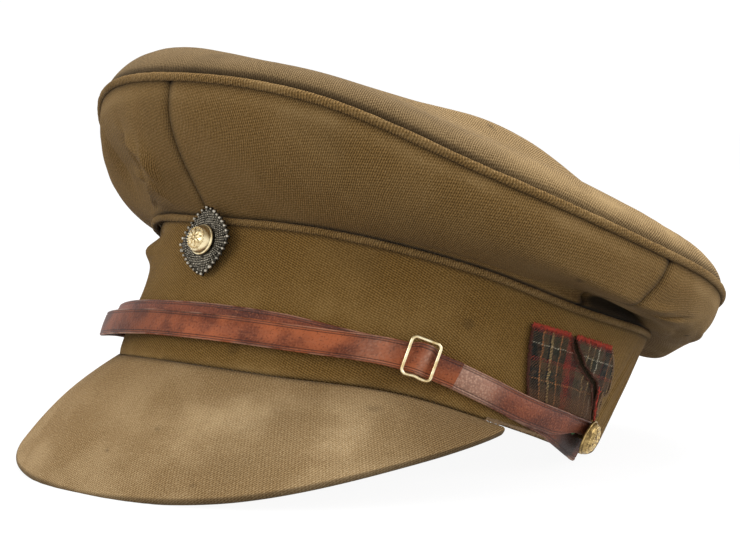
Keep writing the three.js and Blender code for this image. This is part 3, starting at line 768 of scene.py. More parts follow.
def side_point(turn, up):
    away = outwards(CROWN_EDGE, turn)
    leave_height = station("head", turn) + BAND_WELT_RADIUS + GAP + PANEL_FOOT["lift"]
    start = on_oval(BAND_HEAD, turn, leave_height) - away * PANEL_FOOT["set_in"]
    end = on_oval(CROWN_EDGE, turn, station("edge", turn) - CROWN_WELT_RADIUS - GAP)

    def reach(column):
        return station(column, turn)[..., None]

    leave = start + away * reach("leave_out") + UP * reach("leave_up")
    meet = end + away * reach("meet_out") - UP * reach("meet_down")
    u = up[..., None]
    curve = (1 - u) ** 3 * start + 3 * u * (1 - u) ** 2 * leave
    curve = curve + 3 * u**2 * (1 - u) * meet + u**3 * end
    fade = np.minimum(1, up * (1 - up) * FORM_DIRECTION["edge_fade"])
    push = away - UP * FORM_DIRECTION["slope"]
    push = push / np.linalg.norm(push, axis=-1, keepdims=True)
    rise = forms_at(SIDE_FORMS, turn, up) + folds_at(SIDE_FOLDS, turn, up)
    return curve + push * (fade * rise)[..., None]


FRONT_SEAM = {"band": -2, "edge": 0}
LEFT_SEAM = {"band": 89, "edge": 98.5}
BACK_SEAM = {"band": 180, "edge": 180}
RIGHT_SEAM = {"band": 271, "edge": 261.5}
FULL_SEAM = {"band": 358, "edge": 360}
SIDE_PANELS = (
    ("side_front_left", FRONT_SEAM, LEFT_SEAM),
    ("side_rear_left", LEFT_SEAM, BACK_SEAM),
    ("side_rear_right", BACK_SEAM, RIGHT_SEAM),
    ("side_front_right", RIGHT_SEAM, FULL_SEAM),
)
SIDE_COLUMNS = 48

for name, start, end in SIDE_PANELS:
    rows = int((end["band"] - start["band"]) * 1.9)
    share, up = np.meshgrid(np.linspace(0, 1, rows), np.linspace(0, 1, SIDE_COLUMNS), indexing="ij")
    first = start["band"] + (start["edge"] - start["band"]) * up + SEAM_TURN
    final = end["band"] + (end["edge"] - end["band"]) * up - SEAM_TURN
    turn = first + (final - first) * share
    points = side_point(turn, up)
    body = np.minimum(1, up * (1 - up) * 8)[..., None]
    away = outwards(CROWN_EDGE, turn)
    uneven = 0.5 * lumps(points, 24.0, 5) + 0.16 * lumps(points, 7.0, 9)
    points = points + away * body * uneven[..., None]
    seam = np.exp(-((np.minimum(share, 1 - share) * rows) ** 2) / 3.0)
    points = points - away * (0.7 * seam)[..., None]
    inward = points[:, :1] - away[:, :1] * 3.0 - UP * 1.2
    tuck = points[:, -1:] - away[:, -1:] * 0.6 + UP * 2.0
    points = np.concatenate([inward, points, tuck], 1)
    at, edge, seam = (padded(grid, before=1) for grid in (turn, up, seam))
    layout = np.stack([TURN_LENGTH * MM * at, cloth_lengths(points)], -1)
    worn = 0.3 * hump(edge, 0.93, 0.04) + rubbed_at(SIDE_RUBBED, at, edge)
    # Dark seams between the panels, and painted shade where the panel tucks in behind each welt.
    soil_and_shade = 0.45 * seam + 0.5 * smooth(edge, 0.97, 0.995) + 0.45 * smooth(-edge, -0.06, -0.01)
    # Painted shade under the left-hand lip, where the hollow lies in shadow.
    soil_and_shade = soil_and_shade + 0.93 * undercut_shade(at, edge)
    soil_and_shade = soil_and_shade + spots_at(SIDE_SPOTS, at, edge, TURN_LENGTH, PANEL_DEPTH)
    values = {"wear_and_highlight": np.clip(worn, 0, 1), "grime_and_shade": np.clip(soil_and_shade, 0, 1)}
    panel = grid_object(name + "_cloth", to_row(points), layout, values=values)
    fitted(wall_of(panel, CLOTH), side_twill, "crown_cloth", name, lining=lining_twill)

# %% [markdown]
# ## Welts
# Round the crown's edge and round the band runs a welt: a strip of the same twill folded over
# the seam, which stands out as a soft cord. It is a tube along the oval whose radius wanders a
# little, so that it looks sewn and handled, not extruded.

# %% Welts
WELT_ROWS, WELT_SIDES = 480, 16


def welt_object(name, oval, height, radius, set_in, seed):
    turn = np.arange(WELT_ROWS) * 360.0 / WELT_ROWS
    centre = on_oval(oval, turn, station(height, turn)) - outwards(oval, turn) * set_in
    angle = np.arange(WELT_SIDES + 1) * 2 * math.pi / WELT_SIDES
    wobble = 1 + 0.10 * lumps(centre, 9.0, seed) + 0.07 * lumps(centre, 3.0, seed + 1)
    ring = (radius * wobble)[:, None, None]
    away = outwards(oval, turn)[:, None, :]
    points = centre[:, None, :] + ring * (away * np.cos(angle)[:, None] + UP * np.sin(angle)[:, None])
    closed = np.concatenate([turn, [360.0]])
    layout = np.stack(np.broadcast_arrays(closed[:, None] * TURN_LENGTH * MM, angle * radius * MM), -1)
    # The outer face is paler, partly rubbed and partly painted highlight; the rest of the cord gets
    # painted shade, where it turns into the seams.
    rub_and_highlight = 0.35 * np.clip(np.cos(angle), 0, 1) * (0.6 + 0.8 * lumps(centre, 16.0, seed + 2))[:, None]
    values = {"wear_and_highlight": np.clip(rub_and_highlight, 0, 1), "grime_and_shade": 0.65 * smooth(-np.cos(angle), -0.5, 0.15)}
    obj = grid_object(name, to_row(points), layout, ring=True, values=values)
    return welded(obj)


crown_welt = welt_object("crown_welt_cloth", CROWN_EDGE, "edge", CROWN_WELT_RADIUS, 0.0, 21)
fitted(crown_welt, welt_twill, "crown_cloth", "crown_welt")
band_welt = welt_object("band_welt_cloth", BAND_HEAD, "head", BAND_WELT_RADIUS, BAND_WELT_SET_IN, 31)
fitted(band_welt, welt_twill, "crown_cloth", "band_welt")

# %% [markdown]
# ## The band
# The band is twill over a stiff strip. It stands nearly upright, with a pinch and a small roll
# at the right-hand front, and its foot is flattened where the cap rests at the back.

# %% Band
BAND_ROWS, BAND_COLUMNS = 600, 52
BAND_TURN_LENGTH = TURN_LENGTH * 0.82
BAND_RUBBED = rows_of(
    "a b reach_a reach_b strength",
    (92, 0.0, 20, 0.10, 0.5),
    (38, 0.52, 26, 0.16, 0.32),
)
BAND_SPOTS = (
    (66.0, 0.64, 2.4, 0.3), (38.0, 0.30, 2.0, 0.25), (20.0, 0.15, 2.6, 0.3), (118.0, 0.42, 2.0, 0.3),
)
BAND_FOLDS = rows_of(
    "turn up length width lean rise",
    (118, 0.55, 16, 3.0, 78, -0.9),
    (126, 0.50, 18, 3.4, 84, 0.9),
    (-20, 0.72, 16, 3.0, 4, -0.8),
)


# Where the tartan is torn, by its depth below the patches' top and the turns of its edges
PATCH_TOP = 35.0
PATCH_EDGES = {
    "front": {"depth": (0, 6.5, 13, 19.5, 26), "turn": (79.0, 80.6, 82.4, 84.4, 86.9)},
    "slit_front": {
        "depth": (0, 5, 10, 13, 15.5, 22, 29),
        "turn": (89.8, 92, 96, 100, 104, 108.2, 111.8),
    },
    "slit_rear": {
        "depth": (0, 4, 9, 12, 13.5, 17, 21, 28),
        "turn": (90.9, 93.8, 98.2, 102.5, 105.4, 108, 109.2, 112.6),
    },
    "rear": {
        "depth": (0, 5, 10, 15, 17, 18.5, 21, 24, 28),
        "turn": (104.5, 108.5, 111.4, 113.3, 113.4, 111.2, 112.6, 113.2, 113.6),
    },
}


def patch_edge(name, depth):
    edge = PATCH_EDGES[name]
    return np.interp(depth, edge["depth"], edge["turn"])


def slit_at(turn, up):
    """1 within the slit between the two pieces of tartan, where the band is painted almost black as
    shade.
    """
    foot = station("foot", turn)
    depth = PATCH_TOP - (foot + up * (station("head", turn) - foot))
    front, rear = patch_edge("slit_front", depth), patch_edge("slit_rear", depth)
    inside = (rear - front) / 2 + 0.5 - np.abs(turn - (front + rear) / 2)
    return smooth(inside, -0.6, 0.4) * smooth(depth, 0, 1.5) * smooth(-depth, -29, -25)


def band_point(turn, up):
    foot = on_oval(BAND_FOOT, turn, station("foot", turn))
    head = on_oval(BAND_HEAD, turn, station("head", turn) - BAND_WELT_RADIUS - GAP)
    rise = forms_at(BAND_FORMS, turn, up)
    return foot + (head - foot) * up[..., None] + outwards(BAND_FOOT, turn) * rise[..., None]


turn, up = np.meshgrid(
    np.arange(BAND_ROWS + 1) * 360.0 / BAND_ROWS, np.linspace(0, 1, BAND_COLUMNS), indexing="ij"
)
points = band_point(turn, up)
away = outwards(BAND_FOOT, turn)
body = np.minimum(1, up * (1 - up) * 8)
uneven = 0.35 * lumps(points, 22.0, 12) + folds_at(BAND_FOLDS, turn, up, 48.0)
points = points + away * (body * uneven - 0.35 * hump(up, 0.0, 0.03))[..., None]
tuck = points[:, -1:] - away[:, -1:] * 0.5 + UP * 1.8
points = np.concatenate([points, tuck], 1)
at, edge = padded(turn), padded(up)
layout = np.stack([BAND_TURN_LENGTH * MM * at, cloth_lengths(points)], -1)
worn = 0.5 * hump(edge, 0.0, 0.05) + rubbed_at(BAND_RUBBED, at, edge)
foot_edge = hump(edge, 0.0, 0.02) * smooth(-np.abs(at - 30), -75, -60)
# Painted shade where the band tucks up under its welt, and a darker foot along the front.
soil_and_shade = 0.5 * smooth(edge, 0.975, 1.0) + 0.4 * foot_edge
# In the slit the band is painted almost black, as shade; elsewhere small stains.
soil_and_shade = soil_and_shade + spots_at(BAND_SPOTS, at, edge, BAND_TURN_LENGTH, 48) + 0.97 * slit_at(at, edge)
soil_and_shade = np.clip(soil_and_shade, 0, 1)
placed = to_row(points)
placed[..., 2] = np.maximum(placed[..., 2], 0.0)
values = {"wear_and_highlight": worn[:-1], "grime_and_shade": soil_and_shade[:-1]}
band = grid_object("band_cloth", placed[:-1], layout, ring=True, values=values)
fitted(wall_of(band, BAND_WALL), band_twill, "crown_cloth", "band", lining=lining_twill)

# %% Frames on the band


def unit(vector):
    return vector / np.linalg.norm(vector, axis=-1, keepdims=True)


def turned_pair(first, second, degrees):
    c, s = math.cos(math.radians(degrees)), math.sin(math.radians(degrees))
    return first * c + second * s, second * c - first * s


def stand_on_band(turn, height, clear, lean=0.0, roll=0.0):
    """A place on the band, and its axes: round the band, up it and out of it."""
    up = height / (station("head", turn) - station("foot", turn))

    def at(turn, up):
        return band_point(np.array([turn]), np.array([up]))[0]

    along = unit(at(turn + 0.5, up) - at(turn - 0.5, up))
    out = unit(np.cross(along, unit(at(turn, up + 0.05) - at(turn, up - 0.05))))
    place = at(turn, up) + out * clear
    upwards, facing = turned_pair(np.cross(out, along), out, lean)
    along, upwards = turned_pair(along, upwards, roll)
    return place, np.array([along, upwards, facing])


def in_frame(frame_of, local):
    """Points given in a frame's own x, y and z, in millimetres, taken to the row frame."""
    place, axes = frame_of
    return to_row(place + np.asarray(local, float) @ axes)


def turned_to_row(axes, vectors):
    """Directions in a frame's own axes, taken to the row frame."""
    return unit(to_row(np.asarray(vectors, float) @ axes) - to_row(np.zeros(3)))


# %% [markdown]
# ## The peak
# The peak is a stiff board covered with the same cloth, faded paler by the light. It hangs
# steeply at the front and flatter at its corners. Its section is drawn as one closed line, over
# the top, round the turned edge and back underneath, so the edge is soft and the piece closed.

# %% Peak
PEAK = {
    "half_spread": 85.3,
    "width": 55.0,
    "corner_width": 2.2,
    "taper": 1.55,
    "slope_front": 65.6,
    "slope_corner": 28.4,
    "forward": 0.21,
    "crown": 3.0,
}
PEAK_ROWS, PEAK_COLUMNS, PEAK_EDGE_STEPS = 280, 60, 8
PEAK_RUBBED = rows_of(
    "a b reach_a reach_b strength",
    (0.40, 0.42, 0.34, 0.34, 0.45),
    (0.54, 0.66, 0.16, 0.2, 0.35),
)
PEAK_SPOTS = (
    (0.637, 0.27, 2.6, 0.22), (0.032, 0.71, 0.8, 0.5), (0.150, 0.52, 0.7, 0.4), (0.30, 0.9, 0.9, 0.3),
)


def peak_point(across, out):
    turn = across * PEAK["half_spread"]
    reach = np.abs(across)
    width = PEAK["width"] * np.cos(np.pi / 2 * reach ** PEAK["taper"]) + PEAK["corner_width"]
    fall = PEAK["slope_corner"] - PEAK["slope_front"]
    slope = np.radians(PEAK["slope_front"] + fall * across * across)[..., None]
    away = outwards(BAND_FOOT, turn)
    direction = away * np.cos(slope) - UP * np.sin(slope)
    direction[..., 1] -= PEAK["forward"] * reach
    direction /= np.linalg.norm(direction, axis=-1, keepdims=True)
    face = away * np.sin(slope) + UP * np.cos(slope)
    crown = PEAK["crown"] * 4 * out * (1 - out) * width / PEAK["width"]
    foot = on_oval(BAND_FOOT, turn, station("foot", turn) - GAP)
    return foot + direction * (width * out)[..., None] + face * crown[..., None]


def surface_normals(points):
    """Normals of a grid of points, from its own neighbours."""
    normal = np.cross(np.gradient(points, axis=0), np.gradient(points, axis=1))
    return normal / np.linalg.norm(normal, axis=-1, keepdims=True)


across, out = np.meshgrid(np.linspace(-1, 1, PEAK_ROWS), np.linspace(0, 1, PEAK_COLUMNS), indexing="ij")
upper = peak_point(across, out)
normals = surface_normals(upper)
normals *= np.sign(normals[..., 2:3] + 1e-9)
uneven = 0.35 * lumps(upper, 20.0, 14) * np.minimum(1, out * (1 - out) * 8)
upper = upper + normals * uneven[..., None]
lower = upper - normals * PEAK_WALL
run = upper[:, -1] - upper[:, -2]
run /= np.linalg.norm(run, axis=-1, keepdims=True)
angle = np.linspace(0, math.pi, PEAK_EDGE_STEPS + 2)[1:-1]
centre = (upper[:, -1] + lower[:, -1])[:, None] / 2
half = PEAK_WALL / 2
c, s = np.cos(angle)[:, None], np.sin(angle)[:, None]
rim = centre + half * (normals[:, -1][:, None] * c + run[:, None] * 0.8 * s)
section = np.concatenate([upper, rim, lower[:, ::-1], upper[:, :1]], 1)
arc = np.concatenate([[0], np.cumsum(np.linalg.norm(np.diff(upper[:, 20], axis=0), axis=-1))]) * MM
layout = np.stack(np.broadcast_arrays(arc[:, None], cloth_lengths(section)), -1)
top_share = np.concatenate([out[0], np.full(PEAK_EDGE_STEPS, 1.0), out[0][::-1], [0.0]])
is_rim = np.zeros(section.shape[1])
is_rim[PEAK_COLUMNS - 1 : PEAK_COLUMNS + PEAK_EDGE_STEPS + 1] = 1.0
placed = to_row(section)
placed[..., 2] = np.maximum(placed[..., 2], 0.0)
place = np.broadcast_to(across[:, :1], placed.shape[:2])
rubbed = rubbed_at(PEAK_RUBBED, place, top_share)
rubbed = rubbed + 0.32 * top_share**2 - 0.25 * smooth(place, 0.6, 0.9)
soil_and_shade = 0.55 * is_rim + 0.35 * smooth(-top_share, -0.05, 0.0) + 0.16 * smooth(place, 0.6, 0.85)
soil_and_shade = soil_and_shade + spots_at(PEAK_SPOTS, place, top_share, 125, 55)
values = {"wear_and_highlight": np.clip(rubbed, 0, 1), "grime_and_shade": np.clip(soil_and_shade, 0, 1)}
peak = grid_object("peak_cloth", placed, layout, values=values)
fitted(with_ends_closed(welded(peak)), peak_twill, "peak_cloth", "peak")

# %% [markdown]
# ## The chin strap
# Two strips of leather make the strap. The under one runs from the left-hand button round the
# front, and the upper one from the right-hand button to the buckle, over the first. Each is a
# long strip whose section has rounded edges and a tooled line near each edge, swept along the
# band by the same rows as the solids.

# %% Strap tables
STRAP_WIDTH = 10.0
STRAP_LEATHER = 1.5
STRAP_UPPER = {
    "turn": (-114, -92, -76, -56, -36, -20, -4, 22, 45, 57, 68.5),
    "height": (7.3, 7.3, 9, 11, 10.4, 11.8, 13.4, 14.5, 14.2, 13.4, 11.2),
    "clear": (1.6, 1.8, 2.6, 5.4, 7.6, 5.6, 3.4, 2.4, 2.4, 2.4, 2.4),
}
STRAP_UNDER = {
    "turn": (-70, -56, -36, -20, -4, 12, 30, 45, 60, 78, 90, 100, 114),
    "height": (12, 13, 14, 16, 17.4, 18.4, 18, 15, 12.8, 9.6, 7.6, 7.3, 7.3),
    "clear": (0.6, 2.8, 4.4, 2.8, 1.2, 0.5, 0.5, 0.5, 0.5, 0.5, 1.4, 1.9, 1.9),
}
STRAP_TAIL = {
    "turn": (85, 92, 98, 104, 110, 112.5),
    "height": (8.2, 7.0, 5.5, 3.7, 2.1, 1.5),
    "clear": (0.1, 0.2, 0.25, 0.3, 0.3, 0.3),
}


def along_table(table, column, at):
    """A smooth curve through the rows of a table, read at any turns."""
    keys, row = np.array(table["turn"], float), np.array(table[column], float)
    last = len(keys) - 1
    i = np.clip(np.searchsorted(keys, at, side="left") - 1, 0, last - 1)
    u = np.clip((at - keys[i]) / (keys[i + 1] - keys[i]), 0, 1)
    before, after = row[np.maximum(i - 1, 0)], row[np.minimum(i + 2, last)]
    return hermite(row[i], (row[i + 1] - before) / 2, row[i + 1], (after - row[i]) / 2, u)


# %% Strap maker


def level(turn):
    return 0.0 * turn


TOOLED_LINE = {"from_edge": 1.3, "depth": 0.22, "half_width": 0.3}
STRAP_ROWS = 420


def strap_section():
    """Across the strap and out of it, in millimetres, once round its section."""
    half, thick, line = STRAP_WIDTH / 2, STRAP_LEATHER, TOOLED_LINE
    groove = half - line["from_edge"]
    face = [(-half + 0.05, thick * 0.72), (-half + 0.4, thick * 0.95)]
    for side in (-1, 1):
        middle = side * groove
        for shift, drop in ((-1, 0.0), (0, line["depth"]), (1, 0.0)):
            face.append((middle + shift * line["half_width"], thick - drop))
    face += [(half - 0.4, thick * 0.95), (half - 0.05, thick * 0.72)]
    face.insert(6, (0.0, thick + 0.05))
    face.sort()
    back = [(half, thick * 0.45), (half - 0.15, 0.12), (half - 0.6, 0.0)]
    back += [(-half + 0.6, 0.0), (-half + 0.15, 0.12), (-half, thick * 0.45)]
    return np.array(face + back)


def strap_object(name, table, wear_and_highlight, grime_and_shade, raised=level, above=level, below=level):
    """A strap with its wear and painted highlight, its grime and painted shade, its rise off the cap
    and what its two sides gain, by turn.
    """
    section = strap_section()
    turn = np.linspace(table["turn"][0], table["turn"][-1], STRAP_ROWS)
    gain = np.where(section[:, 0] > 0, above(turn)[:, None], below(turn)[:, None])
    height = along_table(table, "height", turn)[:, None] + section[:, 0] * (1 + gain)
    clear = (along_table(table, "clear", turn) + raised(turn))[:, None] + section[:, 1]
    turns = np.broadcast_to(turn[:, None], height.shape)
    up = height / (station("head", turns) - station("foot", turns))
    points = band_point(turns, up) + outwards(BAND_FOOT, turns) * clear[..., None]
    points = np.concatenate([points, points[:, :1]], 1)
    run = np.linalg.norm(np.diff(points[:, 6], axis=0), axis=-1)
    arc = np.concatenate([[0], np.cumsum(run)]) * MM
    side = np.concatenate([section[:, 0], section[:1, 0]]) * MM
    layout = np.stack(np.broadcast_arrays(arc[:, None], side), -1)
    edge = np.clip((np.abs(np.concatenate([section[:, 0], section[:1, 0]])) - 4.2) / 0.7, 0, 1)
    values = {"edge": edge, "wear_and_highlight": wear_and_highlight(turn)[:, None], "grime_and_shade": grime_and_shade(turn)[:, None]}
    return with_ends_closed(welded(grid_object(name, to_row(points), layout, values=values)))


# %% Leather
TOOLED_AT = (3.55, 4.35)
LEATHER_BLACK = rgb(0.022, 0.010, 0.008)
LEATHER_PALE = rgb(0.62, 0.36, 0.25)
LEATHER_WORN = rgb(0.40, 0.135, 0.060)


def leather_material(name, dark, light, worn, grain, shine):
    """Leather on the strap's own layout, which runs along it and across it in metres."""
    material, tree, shader = new_material(name)
    layout = laid_out(tree)
    side = add_node(tree, "ShaderNodeSeparateXYZ", {}, i0=layout).outputs[1]
    side = math_node(tree, "ABSOLUTE", side)
    line = 0.0
    for at in TOOLED_AT:
        away = math_node(tree, "ABSOLUTE", math_node(tree, "SUBTRACT", side, at * MM))
        drawn = math_node(tree, "SUBTRACT", 1.0, ramp(tree, away, 0.00008, 0.0003))
        line = plus(tree, line, drawn)
    cells = add_node(tree, "ShaderNodeTexVoronoi", {}, Vector=layout, Scale=grain).outputs[0]
    cloud = noise_node(tree, layout, 70.0, 5.0)
    fleck = noise_node(tree, layout, 1300.0, 3.0)
    long = add_node(
        tree, "ShaderNodeMapping", {"vector_type": "POINT"}, Vector=layout, Scale=(120.0, 900.0, 1.0)
    ).outputs[0]
    scratch = noise_node(tree, long, 1.0, 5.0)
    colour = mix_colour(tree, ramp(tree, cloud, 0.34, 0.62), dark, light)
    flecked = times(tree, ramp(tree, fleck, 0.5, 0.7), 0.55)
    colour = mix_colour(tree, flecked, colour, worn)
    pitted = times(tree, ramp(tree, fleck, 0.46, 0.3), 0.55)
    colour = mix_colour(tree, pitted, colour, LEATHER_BLACK)
    colour = mix_colour(tree, times(tree, ramp(tree, scratch, 0.58, 0.72), 0.35), colour, worn)
    # Wear and painted highlight turn the grain paler.
    rub_and_highlight = carried(tree, "wear_and_highlight")
    grained = plus(tree, times(tree, ramp(tree, cells, 0.7, 0.1), 0.5), 0.48)
    rub_and_highlight = times(tree, rub_and_highlight, grained, clamp=True)
    colour = mix_colour(tree, rub_and_highlight, colour, LEATHER_PALE)
    # Grime and painted shade darken the leather towards black.
    grime_and_shade = carried(tree, "grime_and_shade")
    colour = mix_colour(tree, grime_and_shade, colour, LEATHER_BLACK)
    edge = carried(tree, "edge")
    rubbed = times(tree, edge, ramp(tree, scratch, 0.42, 0.6))
    colour = mix_colour(tree, times(tree, rubbed, 0.6), colour, LEATHER_PALE)
    colour = mix_colour(tree, times(tree, line, 0.7, clamp=True), colour, LEATHER_BLACK)
    height = plus(tree, times(tree, cells, 0.8), fleck)
    surfaced(tree, shader, colour, height, 0.00016, 0.5, shine)
    return material


strap_leather = leather_material(
    "strap_leather", rgb(0.15, 0.033, 0.012), rgb(0.46, 0.12, 0.040), LEATHER_WORN, 900.0, 0.22
)
under_leather = leather_material(
    "under_leather", rgb(0.11, 0.026, 0.012), rgb(0.24, 0.060, 0.024), LEATHER_WORN, 1150.0, 0.3
)

# %% Straps
BUCKLE = {
    "turn": 59.5, "lift": 1.1, "clear": 5.0, "length": 12.4, "width": 15.0, "wire": 0.62, "corner": 1.8,
}


def bulge(turn):
    """Inside the buckle the strap is folded over its bar and stands up."""
    return 1.3 * hump(turn, BUCKLE["turn"], 1.9, 4)


def swell(turn):
    return 0.06 * hump(turn, 52, 6, 4) + 0.30 * hump(turn, 59.6, 2.6, 4)


def draw_in(turn):
    """Near the button the strap's lower side is drawn in, and the tail shows below it."""
    return -0.85 * smooth(turn, 97, 107)


def upper_highlight_and_wear(turn):
    # A painted highlight on the fold inside the buckle, and a pale smudge before it.
    smudge = 0.35 * hump(turn, 50, 4)
    return 0.55 * hump(turn, BUCKLE["turn"] + 0.8, 0.9) + smudge


def under_highlight(turn):
    # A painted highlight: the strap is painted paler where its gloss shines.
    return hump(turn, 71, 8, 4)


def tail_wear(turn):
    return 0.15 * hump(turn, 92, 6)


def upper_darkening(turn):
    # Darker towards the strap's left end, and a little past the buckle.
    return 0.12 * smooth(turn, 62.0, 63.5) + 0.5 * smooth(-turn, -12, 12)


def under_shade(turn):
    # Painted shade on the strap's end, near and under the button.
    return 0.5 * smooth(turn, 99, 108)


def tail_shade(turn):
    # Painted shade: a little all along the tail, under the strap, and much more in the slit beside the
    # button.
    return 0.2 + 0.75 * smooth(turn, 98, 105) - 0.5 * smooth(turn, 109, 111)


upper = strap_object("strap_upper_leather", STRAP_UPPER, upper_highlight_and_wear, upper_darkening, bulge, swell)
fitted(upper, strap_leather, "strap_leather", "strap_upper")
under = strap_object("strap_under_leather", STRAP_UNDER, under_highlight, under_shade, below=draw_in)
fitted(under, under_leather, "strap_leather", "strap_under")
tail = strap_object("strap_tail_leather", STRAP_TAIL, tail_wear, tail_shade)
fitted(tail, under_leather, "strap_leather")

# %% [markdown]
# ## Tartan
# Two torn pieces of tartan lie behind the strap's left end, with a slit between them.

# %% Patches
PATCH = {"clear": 0.3, "thick": 0.6}
PATCH_DEPTH = 26.5
PATCH_TURN = 1.62


def torn(at, seed):
    """How far a torn edge strays, in millimetres, at distances along it."""
    line = np.stack([at, np.full_like(at, seed * 9.1), np.zeros_like(at)], -1)
    return 0.55 * lumps(line, 4.0, seed) + 0.4 * lumps(line, 1.3, seed + 1)


def patch_point(turn, down):
    foot = station("foot", turn)
    up = (PATCH_TOP - down - foot) / (station("head", turn) - foot)
    out = outwards(BAND_FOOT, turn)
    return band_point(turn, up) + out * (PATCH["clear"] + PATCH["thick"]), out


def patch_object(name, left, right, seed):
    down, side = np.meshgrid(np.linspace(0, 1, 110), np.linspace(0, 1, 70), indexing="ij")
    columns = side * 20 + seed
    head, tail = torn(columns, seed) + 0.3, torn(columns + 7, seed + 2) + 2.2 * side
    down = head + (PATCH_DEPTH + tail - head) * down
    first = patch_edge(left, down) + torn(down + 3, seed + 4) / PATCH_TURN
    final = patch_edge(right, down) + torn(down + 11, seed + 6) / PATCH_TURN
    turn = first + (final - first) * side
    points, out = patch_point(turn, down)
    border = np.minimum(down - head, np.minimum(side, 1 - side) * (final - first) * PATCH_TURN)
    lift = 0.35 * lumps(points, 6.0, seed) + 0.25 * lumps(points, 2.2, seed + 8)
    lift = np.maximum(lift, -0.2) * smooth(-down, -25, -20) + 0.4 * np.exp(-border / 0.7)
    points = points + out * lift[..., None]
    layout = np.stack([(turn - patch_edge("front", down)) * PATCH_TURN, down], -1) * MM
    faded = 0.6 * smooth(down, 17, 26) + 0.5 * smooth(turn, 97, 104) * smooth(down, 11, 18)
    values = {"wear_and_highlight": np.exp(-border / 0.5), "grime_and_shade": np.clip(faded, 0, 1)}
    obj = grid_object(name, to_row(points), layout, values=values)
    obj = applied(obj, ("SOLIDIFY", {"thickness": PATCH["thick"] * MM, "offset": -1.0}))
    return with_ends_closed(obj)


# %% Check
NAVY = rgb(0.014, 0.017, 0.013)
GREEN = rgb(0.045, 0.045, 0.024)
GREY = rgb(0.10, 0.072, 0.036)
OLIVE = rgb(0.062, 0.042, 0.018)
BROWN = rgb(0.15, 0.065, 0.025)
ORANGE = rgb(0.50, 0.20, 0.07)
YELLOW = rgb(0.46, 0.31, 0.13)
WHITE = rgb(0.66, 0.58, 0.42)
RED = rgb(0.30, 0.040, 0.022)
DULL_RED = rgb(0.13, 0.032, 0.020)
FRAYED = rgb(0.42, 0.055, 0.035)
BARE_GROUND = rgb(0.12, 0.062, 0.030)
FADED_RUST = rgb(0.15, 0.066, 0.026)
YARN_SHADE = rgb(0.3, 0.3, 0.3)
ACROSS_BANDS = (
    (0.6, DULL_RED), (4.2, NAVY), (0.7, ORANGE), (2.4, GREY), (1.0, NAVY), (0.9, YELLOW), (3.2, GREEN),
    (0.6, ORANGE), (2.6, OLIVE), (3.8, RED), (2.6, DULL_RED), (5.0, GREY), (0.7, YELLOW), (2.8, OLIVE),
    (0.7, YELLOW), (2.6, GREEN), (0.6, WHITE), (3.0, GREY),
)
DOWN_BANDS = (
    (2.2, RED), (4.0, GREY), (0.5, WHITE), (4.4, NAVY), (1.4, RED), (2.7, BROWN), (3.5, NAVY),
    (0.6, ORANGE), (3.9, NAVY), (8.0, BROWN),
)


def banded(tree, value, bands):
    """Bands of coloured yarn, given by their widths in millimetres, which repeat."""
    total = sum(width for width, _ in bands)
    share = math_node(tree, "FRACT", math_node(tree, "DIVIDE", value, total * MM))
    node = add_node(tree, "ShaderNodeValToRGB", {}, Fac=share)
    node.color_ramp.interpolation = "CONSTANT"
    stops = node.color_ramp.elements
    start = 0.0
    for k, (width, colour) in enumerate(bands):
        stop = stops[k] if k < 2 else stops.new(start / total)
        stop.position, stop.color = start / total, colour
        start += width
    return node.outputs[0]


def tartan_material():
    material, tree, shader = new_material("tartan_wool")
    layout = laid_out(tree)
    stray = add_node(tree, "ShaderNodeTexNoise", {}, Vector=layout, Scale=420.0, Detail=3.0).outputs[1]

    def vector_node(operation, **inputs):
        node = add_node(tree, "ShaderNodeVectorMath", {"operation": operation}, **inputs)
        return node.outputs[0]

    centred = vector_node("SUBTRACT", i0=stray, i1=(0.5, 0.5, 0.5))
    shift = vector_node("SCALE", i0=centred, Scale=0.0016)
    moved = vector_node("ADD", i0=layout, i1=shift)
    split = add_node(tree, "ShaderNodeSeparateXYZ", {}, i0=moved)
    across, down = split.outputs[0], split.outputs[1]
    lean = math_node(tree, "DIVIDE", plus(tree, across, down), 0.0011)
    over = wave(tree, lean)
    over = ramp(tree, over, 0.15, 0.75)
    colour = mix_colour(tree, over, banded(tree, across, ACROSS_BANDS), banded(tree, down, DOWN_BANDS))
    bare = noise_node(tree, layout, 330.0, 4.0)
    bare = times(tree, ramp(tree, bare, 0.47, 0.68), 0.75)
    colour = mix_colour(tree, bare, colour, BARE_GROUND)
    head = math_node(tree, "SUBTRACT", 1.0, ramp(tree, down, 0.0009, 0.0019))
    colour = mix_colour(tree, times(tree, head, 0.75), colour, FRAYED)
    fray = carried(tree, "wear_and_highlight")
    colour = mix_colour(tree, times(tree, fray, 0.6), colour, DULL_RED)
    grime_and_shade = carried(tree, "grime_and_shade")
    colour = mix_colour(tree, times(tree, grime_and_shade, 0.8), colour, FADED_RUST)
    yarn = noise_node(tree, layout, 1900.0, 2.0)
    shade = ramp(tree, yarn, 0.25, 0.7)
    shade = math_node(tree, "SUBTRACT", 1.0, shade)
    colour = mix_colour(tree, shade, colour, YARN_SHADE, "MULTIPLY")
    surfaced(tree, shader, colour, plus(tree, over, yarn), 0.0002, 0.95, 0.1)
    shader.inputs["Sheen Weight"].default_value = 0.1
    return material


tartan = tartan_material()
patch_front = patch_object("patch_front_wool", "front", "slit_front", 41)
fitted(patch_front, tartan, "tartan", "patch_front")
patch_rear = patch_object("patch_rear_wool", "slit_rear", "rear", 43)
fitted(patch_rear, tartan, "tartan", "patch_rear")

# %% Frayed threads


